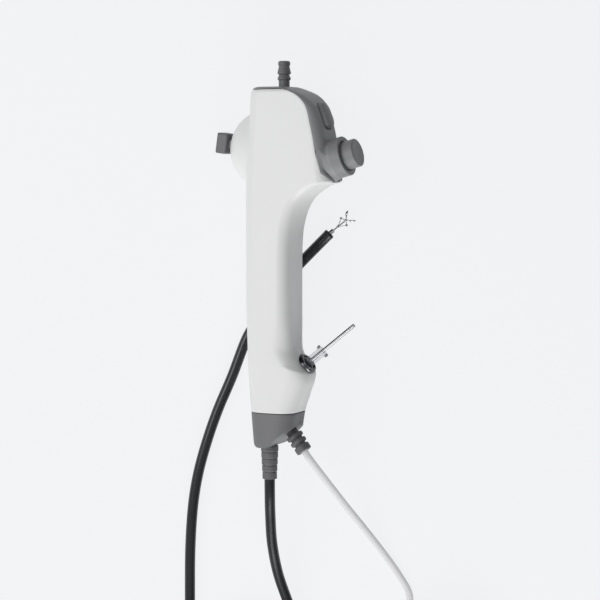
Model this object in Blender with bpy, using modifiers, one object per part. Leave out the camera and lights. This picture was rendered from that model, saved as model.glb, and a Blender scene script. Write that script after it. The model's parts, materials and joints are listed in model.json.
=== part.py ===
# Flexible endoscope: a moulded control handle with a thumb lever, a suction valve, a
# remote button and an instrument port, lying across its own insertion tube, with the
# bending section, the biopsy forceps, and the video cable with its plug.
#
# Sizes are in millimetres and become metres through the factor mm. The handle is modelled
# upright in its own frame: x runs to the front, y to the head, z to the near side, and the
# origin lies on the axle of the thumb lever. One empty then lays it on the table.

import math

import bmesh
import bpy
import numpy as np
from mathutils import Matrix, Vector

mm = 0.001

# General fits
FIT = 0.3  # gap between pieces that touch or run on each other
WALL = 2.0  # moulded wall of the housing

# Housing, as lines in the mid-plane: height y and distance x from the lever axle
FRONT_LINE = [
    (35.2, 12.8), (34.6, 15.6), (33.0, 20.2), (30.1, 27.0), (27.0, 31.1), (23.0, 34.5),
    (14.0, 37.9), (0.0, 40.7), (-10.0, 42.1), (-17.2, 43.2), (-18.2, 42.0), (-19.1, 38.4),
    (-20.7, 34.9), (-22.6, 31.7), (-26.8, 26.7), (-31.8, 23.4), (-38.0, 21.1), (-46.0, 19.4),
    (-60.0, 18.7), (-88.0, 18.8), (-101.7, 19.2), (-109.5, 20.3), (-116.0, 22.9),
    (-123.5, 27.2), (-127.0, 26.9), (-137.0, 24.0), (-146.0, 21.4), (-156.0, 19.9),
    (-172.0, 19.4),
]
REAR_LINE = [
    (35.2, -0.6), (34.6, -2.6), (33.0, -4.4), (29.0, -5.2), (10.0, -6.2), (-10.0, -7.5),
    (-30.0, -8.3), (-70.0, -8.3), (-110.0, -7.5), (-146.0, -5.2), (-172.0, -3.0),
]
HALF_WIDTH = 13.5
TOP_Y = 35.2
TOP_ROUNDING = 3.2
CORNER = 7.0  # rounding along the edges of the side faces
HOUSING_SIDES = 24
HOLLOW_SIDES = 16
STATIONS = [
    35.2, 34.8, 33.8, 32.0, 29.0, 24.0, 16.0, 5.0, -8.0, -14.5, -16.8, -17.9, -19.1, -21.4,
    -24.6, -29.0, -35.0, -44.0, -60.0, -85.0, -103.0, -111.0, -117.0, -121.0, -123.5, -127.0,
    -137.0, -154.0, -172.0,
]
HOLLOW_STATIONS = [
    32.2, 30.6, 28.0, 24.0, 14.0, 0.0, -13.0, -17.0, -19.0, -22.0, -27.0, -36.0, -52.0, -88.0,
    -108.0, -117.0, -123.0, -130.0, -172.0,
]

# Pegs that join the two side shells, as (x, y)
PEGS = [(3.0, 27.6), (15.2, -48.0), (15.2, -95.0), (20.0, -136.5)]
PEG_BOSS = 2.0
PEG_RADIUS = 1.0
PEG_LENGTH = 4.0
FAR = 80.0  # reach of the flat cutters beyond the housing

# Round bulge over the lever drum
DOME_RADIUS = 21.5
DOME_HALF_WIDTH = 11.0

# Edge between the white side wall and the grey cover, as (x, y)
COVER_EDGE = [
    (-16.0, 32.2), (-2.0, 32.8), (10.0, 33.5), (16.5, 33.3), (22.5, 31.0), (27.6, 27.5),
    (31.0, 22.5), (33.4, 13.5), (36.7, -1.3), (40.3, -11.8), (44.3, -16.6), (52.0, -18.9),
]

# End cap
SPLIT_Y = -146.2
CAP_BOTTOM_Y = -165.6
SLANT_ANGLE = 36.0
SLANT_START_X = 8.0
CAP_FLOOR = 2.4

# Thumb lever, drum and axle
LEVER_REST = 7.9
PAD_INNER = 23.8
PAD_THICKNESS = 5.1
PAD_HEIGHT = 11.5
PAD_WIDTH = 10.0
ARM_THICKNESS = 5.0
ARM_HEIGHT = 4.4
HUB_RADIUS = 9.0
HUB_HALF = 2.8
SLOT_HALF = 3.2
SLOT_LOW = -44.0
SLOT_HIGH = 40.0
AXLE_RADIUS = 2.0
DRUM_START = HUB_HALF + FIT
DRUM_WIDTH = 4.2
DRUM_FLANGE = 0.8
DRUM_FLANGE_RADIUS = 8.0
WIRE_RADIUS = 0.25
WIRE_OFFSET = 5.0
WIRE_Z = DRUM_START + DRUM_WIDTH / 2
BUSH_RADIUS = 3.6
BUSH_LENGTH = 2.1
AXLE_HALF = 9.9  # half length of the axle, which ends in its seats in the shells
BOSS_WALL = 1.5
STOP_TOP_Y = -58.0
STOP_HEIGHT = 8.3
STOP_LENGTH = 13.2
STOP_CENTRE_X = 0.7
STOP_NEAR = 7.2
WIRE_TRAVEL = 3.6
PIPE_RADIUS = 0.7

# Suction valve: its axis leaves the cover at VALVE_BASE and leans up
VALVE_BASE = (43.2, -5.0)
VALVE_LEAN = 15.5
COLLAR_RADIUS = 11.0
COLLAR_HEIGHT = 6.3
COLLAR_BORE = 8.6
COLLAR_FLOOR = 1.2
CAP_RADIUS = 7.85
CAP_WALL = 1.2
CAP_TOP = 13.3
CAP_SKIRT = 5.6
STEM_RADIUS = 2.6
PISTON_RADIUS = 4.2
CYLINDER_RADIUS = 6.4
CYLINDER_BORE = 4.6
CYLINDER_DEPTH = 22.0
SPRING_WIRE = 0.8
SPRING_TURNS = 5
HOSE_RADIUS = 2.4
NIPPLE_RADIUS = 1.8
NIPPLE_BORE = 0.8
NIPPLE_LENGTH = 4.0
SIDE_NIPPLE_DEPTH = 18.0
SIDE_NIPPLE_END = 9.5

# Remote button on the slope of the cover
REMOTE_CENTRE = (35.9, 18.4)
REMOTE_LEAN = 22.0
REMOTE_LENGTH = 15.7
REMOTE_WIDTH = 9.6
REMOTE_PROUD = 1.3
REMOTE_DEPTH = 3.2
REMOTE_LIP = 0.9
REMOTE_TRAVEL = 1.0
SWITCH_SIZE = 6.0
SWITCH_HEIGHT = 2.0
REMOTE_FOOT = -REMOTE_DEPTH - REMOTE_LIP - 1.0
PLUNGER_TOP = REMOTE_FOOT - REMOTE_TRAVEL - FIT
SWITCH_TOP = PLUNGER_TOP - 0.4
BOARD_TOP = SWITCH_TOP - SWITCH_HEIGHT - FIT
BOARD_LENGTH = 12.0
BOARD_WIDTH = 16.6
BOARD_THICKNESS = 1.0
POST_OFFSET = 7.0
POST_RADIUS = 0.9

# Suction barb on the head
BARB_X = 11.37
BARB_TOP = 49.0
BARB_NECK = 3.05
BARB_RING = 3.7
BARB_BORE = 2.0

# Instrument port on the shoulder
PORT_POINT = (25.6, -118.6)
PORT_ANGLE = 38.5
FLANGE_RADIUS = 6.0
SPIGOT_RADIUS = 4.4
LUER_RADIUS = 3.0
LUER_LENGTH = 12.4
LUER_LUG = 3.9
LUER_BORE = 1.4
SHAFT_RADIUS = 1.0
SHAFT_OUT = 36.0
SHAFT_IN = 8.0
SEAL_THICKNESS = 2.4
SPIGOT_DEPTH = 5.0
BRANCH_TOP = -111.0
GLAND_TOP = -155.0

# Boots at the end cap
BOOT_X = 2.2
BOOT_END_Y = -184.5
BOOT_TOP_RADIUS = 5.1
BOOT_LOW_RADIUS = 4.05
BOOT_RIBS = 5
CABLE_BOOT_POINT = (17.1, -158.9)
CABLE_BOOT_ANGLE = -53.1
CABLE_BOOT_LENGTH = 11.2
CABLE_BOOT_RADIUS = 4.75
CABLE_BOOT_CORE = 3.1
CABLE_BOOT_RIBS = 3
PLUG_THROUGH = 3.4

# Cords
TUBE_DIAMETER = 6.0
CABLE_DIAMETER = 4.0
LIE = 0.05  # height of a lying cord's underside above the table

# Bending section and tip
LINK_COUNT = 7
LINK_PITCH = 5.0
LINK_RADIUS = 2.8
LINK_BORE = 2.0
LINK_WEDGE = 11.0
TIP_LENGTH = 10.0
END_ROOM = 0.8
CHANNEL_RADIUS = 1.4
LENS_RADIUS = 0.65
LENS_OFFSET = 2.05
LED_RADIUS = 0.5
TUBE_END = (36.05, -47.68)
TIP_HEADING = 45.5
STRAIGHT_RUN = 20.0
RUN_RADIUS = 190.0

# Biopsy forceps: jaws, links and drive rod around the jaw pivot
FORCEPS_HEADING = 39.0
PIVOT_DISTANCE = 11.7
JAW_OPEN = 38.5
JAW_LENGTH = 5.4
JAW_WIDTH = 1.9
CUP_LENGTH = 3.6
JAW_PLATE = 0.35
JAW_LAYER = 0.05
TAIL_LENGTH = 3.0
TAIL_ANGLE = 17.3
LINK_ARM = 5.0
LINK_PLATE = 0.30
LINK_LAYER = 0.50
CLEVIS_LAYER = 0.90
CLEVIS_PLATE = 0.25
CLEVIS_BASE = 9.1
CLEVIS_LENGTH = 6.0
PIN_RADIUS = 0.30
ROD_RADIUS = 0.35
EYE_RADIUS = 0.8

# Plug and coils, in table coordinates from the lever axle
TUBE_COIL_CENTRE = (-8.6, -302.0)
TUBE_COIL_RADIUS = 33.0
CABLE_COIL_CENTRE = (106.0, -292.0)
CABLE_COIL_RADIUS = 22.0
CABLE_COIL_LAYERS = 3
PLUG_X = 104.5
PLUG_BOOT_Y = -284.3
PLUG_BOOT_LENGTH = 11.5
PLUG_BOOT_BORE = 1.6
PLUG_LENGTH = 34.0
PLUG_WIDTH = 16.0
PLUG_HEIGHT = 9.0
PLUG_BOARD_OUT = 7.0

# How the handle lies: rolled towards its near side, on its pad and across the tube
ROLL = 25.0
CROSSING_Y = -87.0
PAD_CORNER_LIFT = 0.383  # the pad's rounding brings its corner nearer to the table

# Cords and what is on them: these count neither for the middle nor for the lowest point
CORD_PIECES = (
    "insertion_lead", "insertion_coil", "insertion_tube", "bend_ring", "distal_tip", "camera_lens",
    "led_window", "forceps_clevis", "jaw_", "link_", "drive_rod", "video_", "plug_",
)


for old in list(bpy.data.objects):
    bpy.data.objects.remove(old, do_unlink=True)

PARTS = bpy.data.collections.new("flexible_endoscope")
CUTTERS = bpy.data.collections.new("cutters")
bpy.context.scene.collection.children.link(PARTS)
bpy.context.scene.collection.children.link(CUTTERS)


def material(name, colour, roughness, metallic=0.0):
    made = bpy.data.materials.new(name)
    made.use_nodes = True
    shader = made.node_tree.nodes["Principled BSDF"]
    shader.inputs["Base Color"].default_value = (*colour, 1.0)
    shader.inputs["Roughness"].default_value = roughness
    shader.inputs["Metallic"].default_value = metallic
    return made


WHITE = material("white_moulding", (0.75, 0.75, 0.74), 0.35)
GREY = material("grey_moulding", (0.16, 0.16, 0.17), 0.5)
RUBBER = material("grey_rubber", (0.12, 0.12, 0.13), 0.7)
BLACK = material("black_sheath", (0.02, 0.02, 0.022), 0.4)
PALE = material("pale_cable", (0.6, 0.6, 0.61), 0.5)
STEEL = material("steel", (0.6, 0.6, 0.62), 0.25, 1.0)
CLEAR = material("clear_polymer", (0.7, 0.72, 0.74), 0.15)
BOARD = material("circuit_board", (0.03, 0.13, 0.07), 0.5)
HOSE = material("hose", (0.55, 0.56, 0.55), 0.4)


def empty(name, parent=None, matrix=None):
    made = bpy.data.objects.new(name, None)
    PARTS.objects.link(made)
    made.parent = parent
    if matrix is not None:
        made.matrix_local = matrix
    return made


def add(name, data, finish, parent, matrix=None):
    """Link a part with its material, under its empty."""
    made = bpy.data.objects.new(name, data)
    PARTS.objects.link(made)
    made.parent = parent
    if matrix is not None:
        made.matrix_local = matrix
    if finish is not None:
        data.materials.append(finish)
    return made


def as_cutter(obj):
    PARTS.objects.unlink(obj)
    CUTTERS.objects.link(obj)
    obj.hide_render = True
    obj.display_type = "WIRE"
    return obj


def boolean(obj, other, operation="DIFFERENCE"):
    step = obj.modifiers.new(operation.lower(), "BOOLEAN")
    step.operation = operation
    step.object = as_cutter(other) if other.name in PARTS.objects else other
    return obj


def frame(point, direction=(0.0, 0.0, 1.0)):
    """Matrix at a point in mm whose local z runs along a direction."""
    turn = Vector((0.0, 0.0, 1.0)).rotation_difference(Vector(direction))
    return Matrix.Translation(Vector(point) * mm) @ turn.to_matrix().to_4x4()


def flat_frame(point, heading):
    """Matrix at a point in mm, turned about z by a heading in degrees."""
    return Matrix.Translation(Vector(point) * mm) @ Matrix.Rotation(math.radians(heading), 4, "Z")


def side_frame(point, lean):
    """Matrix at (x, y) of the mid-plane with z along the lean, x along the near side."""
    angle = math.radians(lean)
    outward = Vector((math.cos(angle), math.sin(angle), 0.0))
    along = Vector((-math.sin(angle), math.cos(angle), 0.0))
    across = along.cross(outward)
    turn = Matrix((across, along, outward)).transposed().to_4x4()
    return Matrix.Translation(Vector((*point, 0.0)) * mm) @ turn


def shade(mesh, angle=35.0):
    mesh.shade_smooth()
    mesh.set_sharp_from_angle(angle=math.radians(angle))
    return mesh


def turned(name, profile, finish, parent, matrix, sides=20):
    """Revolve (radius, height) points about z: down the outside, then up the bore."""
    mesh = bpy.data.meshes.new(name)
    points = [(radius * mm, 0.0, height * mm) for radius, height in profile]
    open_ends = profile[0][0] == 0.0 and profile[-1][0] == 0.0
    edges = [(i, i + 1) for i in range(len(points) - 1)]
    if not open_ends:
        edges.append((len(points) - 1, 0))
    mesh.from_pydata(points, edges, [])
    made = add(name, mesh, finish, parent, matrix)
    screw = made.modifiers.new("turn", "SCREW")
    screw.axis = "Z"
    screw.angle = math.tau
    screw.steps = sides
    screw.render_steps = sides
    screw.use_merge_vertices = True
    screw.merge_threshold = 1e-6
    screw.use_smooth_shade = True
    return made


def rod(name, radius, low, high, finish, parent, matrix, sides=20):
    """A plain round bar from low to high along the local z."""
    shape = bmesh.new()
    bmesh.ops.create_cone(
        shape, cap_ends=True, segments=sides, radius1=radius * mm, radius2=radius * mm,
        depth=(high - low) * mm, matrix=Matrix.Translation((0.0, 0.0, (low + high) / 2 * mm)),
    )
    mesh = bpy.data.meshes.new(name)
    shape.to_mesh(mesh)
    shape.free()
    return add(name, shade(mesh), finish, parent, matrix)


def box(name, size, centre, finish, parent, matrix=None, rounding=0.0):
    shape = bmesh.new()
    place = Matrix.Translation(Vector(centre) * mm) @ Matrix.Diagonal((*(Vector(size) * mm), 1.0))
    bmesh.ops.create_cube(shape, size=1.0, matrix=place)
    mesh = bpy.data.meshes.new(name)
    shape.to_mesh(mesh)
    shape.free()
    made = add(name, mesh, finish, parent, matrix)
    if rounding:
        bevel = made.modifiers.new("rounding", "BEVEL")
        bevel.width = rounding * mm
        bevel.segments = 2
    return made


def outline_curve(name, outlines, low, high):
    """A flat outline with its holes, filled and thickened from low to high along z."""
    curve = bpy.data.curves.new(name, "CURVE")
    curve.dimensions = "2D"
    curve.fill_mode = "BOTH"
    curve.extrude = (high - low) / 2 * mm
    for outline in outlines:
        spline = curve.splines.new("POLY")
        spline.points.add(len(outline) - 1)
        for point, (x, y) in zip(spline.points, outline):
            point.co = (x * mm, y * mm, 0.0, 1.0)
        spline.use_cyclic_u = True
    return curve


def as_mesh(obj, finish=None):
    """Turn a curve object into a welded mesh object of the same name and place."""
    bpy.context.view_layer.update()
    name, parent, local = obj.name, obj.parent, obj.matrix_local.copy()
    mesh = bpy.data.meshes.new_from_object(obj.evaluated_get(bpy.context.evaluated_depsgraph_get()))
    bpy.data.objects.remove(obj, do_unlink=True)
    shape = bmesh.new()
    shape.from_mesh(mesh)
    bmesh.ops.remove_doubles(shape, verts=shape.verts, dist=1e-7)
    bmesh.ops.recalc_face_normals(shape, faces=shape.faces)
    shape.to_mesh(mesh)
    shape.free()
    mesh.materials.clear()
    return add(name, shade(mesh), finish, parent, local)


def plate(name, outlines, low, high, finish, parent, matrix=None):
    """A flat piece between two heights of the local z, as a mesh ready for cuts."""
    curve = outline_curve(name, outlines, low, high)
    lift = Matrix.Translation((0.0, 0.0, (low + high) / 2 * mm))
    place = lift if matrix is None else matrix @ lift
    return as_mesh(add(name, curve, None, parent, place), finish)


def circle(radius, centre=(0.0, 0.0), sides=20):
    turns = [math.tau * k / sides for k in range(sides)]
    return [(centre[0] + radius * math.cos(t), centre[1] + radius * math.sin(t)) for t in turns]


def oval(length, width, sides=10):
    """A round-ended slot outline whose long side runs along y."""
    radius = width / 2
    reach = length / 2 - radius
    half = [math.pi * k / sides for k in range(sides + 1)]
    top = [(radius * math.cos(t), reach + radius * math.sin(t)) for t in half]
    return top + [(-x, -y) for x, y in top]


def capsule(start, end, radius_start, radius_end, sides=5):
    """Outline of a bar with round ends about two points."""
    heading = math.atan2(end[1] - start[1], end[0] - start[0])
    half = [math.pi * k / sides for k in range(sides + 1)]
    points = []
    for centre, radius, offset in ((end, radius_end, -math.pi / 2), (start, radius_start, math.pi / 2)):
        for t in half:
            angle = heading + offset + t
            points.append((centre[0] + radius * math.cos(angle), centre[1] + radius * math.sin(angle)))
    return points


def smooth_route(points, spacing):
    """Points at an even spacing on one smooth curve through the route's own points."""
    route = np.array(points, float)
    ends = np.vstack([2 * route[0] - route[1], route, 2 * route[-1] - route[-2]])
    dense = []
    for before, start, end, after in zip(ends, ends[1:], ends[2:], ends[3:]):
        t = np.linspace(0.0, 1.0, 24, endpoint=False)[:, None]
        dense.append(0.5 * (
            2 * start + (end - before) * t
            + (2 * before - 5 * start + 4 * end - after) * t**2
            + (3 * start - before - 3 * end + after) * t**3
        ))
    dense = np.vstack(dense + [route[-1:]])
    run = np.concatenate([[0.0], np.cumsum(np.linalg.norm(np.diff(dense, axis=0), axis=1))])
    count = max(2, int(round(run[-1] / spacing)) + 1)
    even = np.linspace(0.0, run[-1], count)
    return np.stack([np.interp(even, run, dense[:, axis]) for axis in range(3)], axis=1)


def tube(name, points, diameter, finish, parent, spacing=None, resolution=2):
    """A round bar along a smooth route, as a curve with a bevel."""
    curve = bpy.data.curves.new(name, "CURVE")
    curve.dimensions = "3D"
    curve.bevel_depth = diameter / 2 * mm
    curve.bevel_resolution = resolution
    curve.use_fill_caps = True
    spline = curve.splines.new("POLY")
    route = smooth_route(points, spacing or 2.5 * diameter)
    spline.points.add(len(route) - 1)
    for point, place in zip(spline.points, route):
        point.co = (*(place * mm), 1.0)
    return add(name, curve, finish, parent)


def line_at(points, heights):
    """Cubic through (height, value) points whose slopes are limited, so it never overshoots."""
    table = np.array(sorted(points), float)
    x, y = table[:, 0], table[:, 1]
    step = np.diff(x)
    slope = np.diff(y) / step
    tangent = np.zeros_like(y)
    same = slope[:-1] * slope[1:] > 0
    w1, w2 = 2 * step[1:] + step[:-1], step[1:] + 2 * step[:-1]
    inner = np.zeros_like(slope[:-1])
    inner[same] = (w1 + w2)[same] / (w1[same] / slope[:-1][same] + w2[same] / slope[1:][same])
    tangent[1:-1] = inner
    tangent[0], tangent[-1] = slope[0], slope[-1]
    heights = np.clip(heights, x[0], x[-1])
    k = np.clip(np.searchsorted(x, heights, side="right") - 1, 0, len(step) - 1)
    t = (heights - x[k]) / step[k]
    return (
        (2 * t**3 - 3 * t**2 + 1) * y[k] + (t**3 - 2 * t**2 + t) * step[k] * tangent[k]
        + (-2 * t**3 + 3 * t**2) * y[k + 1] + (t**3 - t**2) * step[k] * tangent[k + 1]
    )


def housing_rings(inset):
    """Sections of the housing, moved inwards by the inset along the true normal."""
    top = TOP_Y - inset
    stations, sides = (HOLLOW_STATIONS, HOLLOW_SIDES) if inset else (STATIONS[1:], HOUSING_SIDES)
    heights = np.array([top] + [height for height in stations if height < top])
    probe = np.linspace(-inset, inset, 9) if inset else np.zeros(1)
    reach = np.sqrt(np.maximum(inset**2 - probe**2, 0.0))
    around = heights[:, None] + probe[None, :]
    front = np.min(line_at(FRONT_LINE, around) - reach, axis=1)
    rear = np.max(line_at(REAR_LINE, around) + reach, axis=1)
    below_top = np.clip((heights - (TOP_Y - inset - TOP_ROUNDING)) / TOP_ROUNDING, 0.0, 1.0)
    rounding = TOP_ROUNDING * (1.0 - np.sqrt(1.0 - below_top**2))
    half = HALF_WIDTH - inset - rounding
    corner = CORNER - inset
    turn = np.linspace(0.0, math.tau, sides, endpoint=False) + math.pi / sides
    centre, depth = (front + rear) / 2, (front - rear) / 2
    flat_x = np.maximum(depth - corner, 0.05)[:, None] * np.sign(np.cos(turn))
    flat_z = np.maximum(half - corner, 0.05)[:, None] * np.sign(np.sin(turn))
    x = centre[:, None] + flat_x + corner * np.cos(turn)
    z = flat_z + corner * np.sin(turn)
    y = np.broadcast_to(heights[:, None], x.shape)
    return np.stack([x, y, z], axis=2)


def loft(name, rings, finish, parent):
    """Skin closed rings one after another and close both ends."""
    count, sides = rings.shape[:2]
    shape = bmesh.new()
    verts = [[shape.verts.new(point * mm) for point in ring] for ring in rings]
    for low, high in zip(verts, verts[1:]):
        for k in range(sides):
            n = (k + 1) % sides
            shape.faces.new((low[k], low[n], high[n], high[k]))
    shape.faces.new(verts[0])
    shape.faces.new(verts[-1])
    bmesh.ops.recalc_face_normals(shape, faces=shape.faces)
    mesh = bpy.data.meshes.new(name)
    shape.to_mesh(mesh)
    shape.free()
    return add(name, shade(mesh), finish, parent)


def bulge(name, inset, parent):
    """The flattened ball of the dome, as a cutter or to be joined."""
    shape = bmesh.new()
    size = (DOME_RADIUS - inset, DOME_RADIUS - inset, DOME_HALF_WIDTH - inset)
    bmesh.ops.create_uvsphere(
        shape, u_segments=24, v_segments=10, radius=mm, matrix=Matrix.Diagonal((*size, 1.0)),
    )
    mesh = bpy.data.meshes.new(name)
    shape.to_mesh(mesh)
    shape.free()
    return add(name, mesh, None, parent)


def offset_line(points, distance):
    """Move an open line of (x, y) points sideways, to its left."""
    line = np.array(points, float)
    along = np.gradient(line, axis=0)
    along /= np.linalg.norm(along, axis=1)[:, None]
    return line + distance * np.stack([-along[:, 1], along[:, 0]], axis=1)


def region(line, corners):
    return [tuple(point) for point in line] + corners


def cover_side(shift):
    """Everything above and in front of the cover's edge line."""
    line = smooth_route([(*point, 0.0) for point in COVER_EDGE], 3.5)[:, :2]
    return region(offset_line(line, shift), [(FAR, -18.9), (FAR, FAR), (-16.0, FAR)])


def shell_side(shift):
    """Everything below and behind the cover's edge line."""
    line = smooth_route([(*point, 0.0) for point in COVER_EDGE], 3.5)[:, :2]
    return region(offset_line(line, shift), [(FAR, -18.9), (FAR, -3 * FAR), (-FAR, -3 * FAR), (-FAR, 32.2)])


def underside(lift):
    """Everything below the end cap: flat at the rear, slanting up to the front."""
    rise = math.tan(math.radians(SLANT_ANGLE))
    slant_lift = lift / math.cos(math.radians(SLANT_ANGLE))
    start = SLANT_START_X - (slant_lift - lift) / rise
    low = CAP_BOTTOM_Y + lift
    rear = line_at(REAR_LINE, np.array([CAP_BOTTOM_Y]))[0] + lift
    corner = 3.2
    arc = [math.pi + math.pi / 2 * k / 5 for k in range(6)]
    rounded = [(rear + corner + corner * math.cos(t), low + corner + corner * math.sin(t)) for t in arc]
    end_y = low + (FAR - start) * rise
    return (
        [(-FAR, low + corner)] + rounded
        + [(start, low), (FAR, end_y), (FAR, -3 * FAR), (-FAR, -3 * FAR)]
    )


def across(name, outline, handle, half=30.0):
    """A cutter prism through the handle from side to side."""
    return as_cutter(plate(name, [outline], -half, half, None, handle))


def mid(point):
    return (point[0], point[1], 0.0)


def arm_slot():
    """Fan-shaped slot in the dome, from inside the drum room to outside the dome."""
    low, high = math.radians(180.0 - SLOT_HIGH), math.radians(180.0 - SLOT_LOW)
    turns = [low + (high - low) * k / 10 for k in range(11)]
    outer = [(30.0 * math.cos(t), 30.0 * math.sin(t)) for t in turns]
    inner = [(HUB_RADIUS * math.cos(t), HUB_RADIUS * math.sin(t)) for t in reversed(turns)]
    return outer + inner


def axis_of(angle):
    return (math.cos(math.radians(angle)), math.sin(math.radians(angle)), 0.0)


def along(point, angle, distance):
    direction = axis_of(angle)
    return (point[0] + direction[0] * distance, point[1] + direction[1] * distance, 0.0)


def housing(handle):
    """Two side shells, the grey cover and the end cap, all cut from one envelope."""
    hollow = loft("hollow", housing_rings(WALL), None, handle)
    boolean(hollow, bulge("hollow_dome", WALL, handle), "UNION")
    as_cutter(hollow)
    slot = as_cutter(plate("lever_slot", [arm_slot()], -SLOT_HALF, SLOT_HALF, None, handle))
    cover_cut = across("cover_cut", cover_side(0.0), handle)
    shell_cut = across("shell_cut", shell_side(FIT), handle)
    cap_cut = as_cutter(box("cap_cut", (160, 80, 60), (0, SPLIT_Y - 40 + FIT, 0), None, handle))
    above_cut = as_cutter(box("above_cut", (160, 240, 60), (0, SPLIT_Y + 120, 0), None, handle))
    port_frame = frame(mid(PORT_POINT), axis_of(PORT_ANGLE))
    port_hole = as_cutter(rod("port_hole", SPIGOT_RADIUS + FIT, -14, 9, None, handle, port_frame, 28))
    port_seat = as_cutter(rod("port_seat", FLANGE_RADIUS + FIT, -1.2, 9, None, handle, port_frame, 28))
    valve = frame(mid(VALVE_BASE), axis_of(VALVE_LEAN))
    cylinder_hole = as_cutter(rod("cylinder_hole", CYLINDER_RADIUS + FIT, -6, 3, None, handle, valve))
    barb_room = as_cutter(box("barb_room", (27, 5, 16.8), (10.5, 33.5, 0), None, handle))

    for side, sign in (("near", 1.0), ("far", -1.0)):
        shell = loft(f"housing_{side}_shell", housing_rings(0.0), WHITE, handle)
        boolean(shell, bulge(f"dome_{side}", 0.0, handle), "UNION")
        boolean(shell, hollow)
        centre = (0, -60, -sign * (30 - FIT / 2))
        boolean(shell, box(f"other_half_{side}", (200, 300, 60), centre, None, handle))
        for cutter in (cover_cut, cap_cut, slot, port_hole, port_seat, cylinder_hole, barb_room):
            boolean(shell, cutter)
        side_frame_z = frame((0, 0, 0), (0, 0, sign))
        deep = HALF_WIDTH - WALL / 2
        bush_top = AXLE_HALF
        boss = rod(f"axle_boss_{side}", BUSH_RADIUS + FIT + BOSS_WALL, bush_top - BUSH_LENGTH, deep, None,
                   handle, side_frame_z, 24)
        boolean(shell, boss, "UNION")
        seat = rod(f"axle_seat_{side}", BUSH_RADIUS + FIT, 0, bush_top + FIT, None, handle, side_frame_z)
        boolean(shell, seat)
        for number, (x, y) in enumerate(PEGS):
            place = frame((x, y, 0), (0, 0, sign))
            low = FIT / 2
            boss = rod(f"peg_boss_{side}_{number}", PEG_BOSS, low, deep, None, handle, place, 12)
            boolean(shell, boss, "UNION")
            if sign > 0:
                hole = rod(
                    f"peg_hole_{number}", PEG_RADIUS + FIT, -1, PEG_LENGTH + 2 * FIT, None, handle, place, 12)
                boolean(shell, hole)
            else:
                peg = rod(f"peg_{number}", PEG_RADIUS, -PEG_LENGTH, 1, None, handle, place, 12)
                boolean(shell, peg, "UNION")

    cover = loft("top_cover", housing_rings(0.0), GREY, handle)
    seat = rod("collar_seat", COLLAR_RADIUS + 1.0, -3.2, 0.0, None, handle, valve, 32)
    boolean(cover, seat, "UNION")
    boolean(cover, hollow)
    boolean(cover, shell_cut)
    boolean(cover, cylinder_hole)
    boolean(cover, rod("barb_hole", BARB_NECK + FIT, TOP_Y - 4, TOP_Y + 2, None, handle,
                       frame((BARB_X, 0, 0), (0, 1, 0))))
    remote = side_frame(REMOTE_CENTRE, REMOTE_LEAN)
    opening = oval(REMOTE_LENGTH + 2 * FIT, REMOTE_WIDTH + 2 * FIT)
    boolean(cover, plate("remote_hole", [opening], -6, 5, None, handle, remote))
    for sign in (1, -1):
        post = remote @ Matrix.Translation((sign * POST_OFFSET * mm, 0, 0))
        boolean(cover, rod(f"board_post_{sign}", POST_RADIUS, BOARD_TOP + FIT, -1.2, None, handle, post, 12), "UNION")

    cap = loft("end_cap", housing_rings(0.0), GREY, handle)
    boolean(cap, above_cut)
    boolean(cap, across("under_cut", underside(0.0), handle))
    room = loft("cap_room", housing_rings(WALL), None, handle)
    boolean(room, across("floor_cut", underside(CAP_FLOOR), handle))
    boolean(cap, room)
    boot_hole = rod("boot_hole", PLUG_THROUGH + 1.0 + FIT, -1, 8, None, handle,
                    frame((BOOT_X, CAP_BOTTOM_Y - 3, 0), (0, 1, 0)))
    boolean(cap, boot_hole)
    cable_hole = rod("cable_hole", PLUG_THROUGH + FIT, -6, 3, None, handle,
                     frame(mid(CABLE_BOOT_POINT), axis_of(CABLE_BOOT_ANGLE)))
    boolean(cap, cable_hole)


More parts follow.
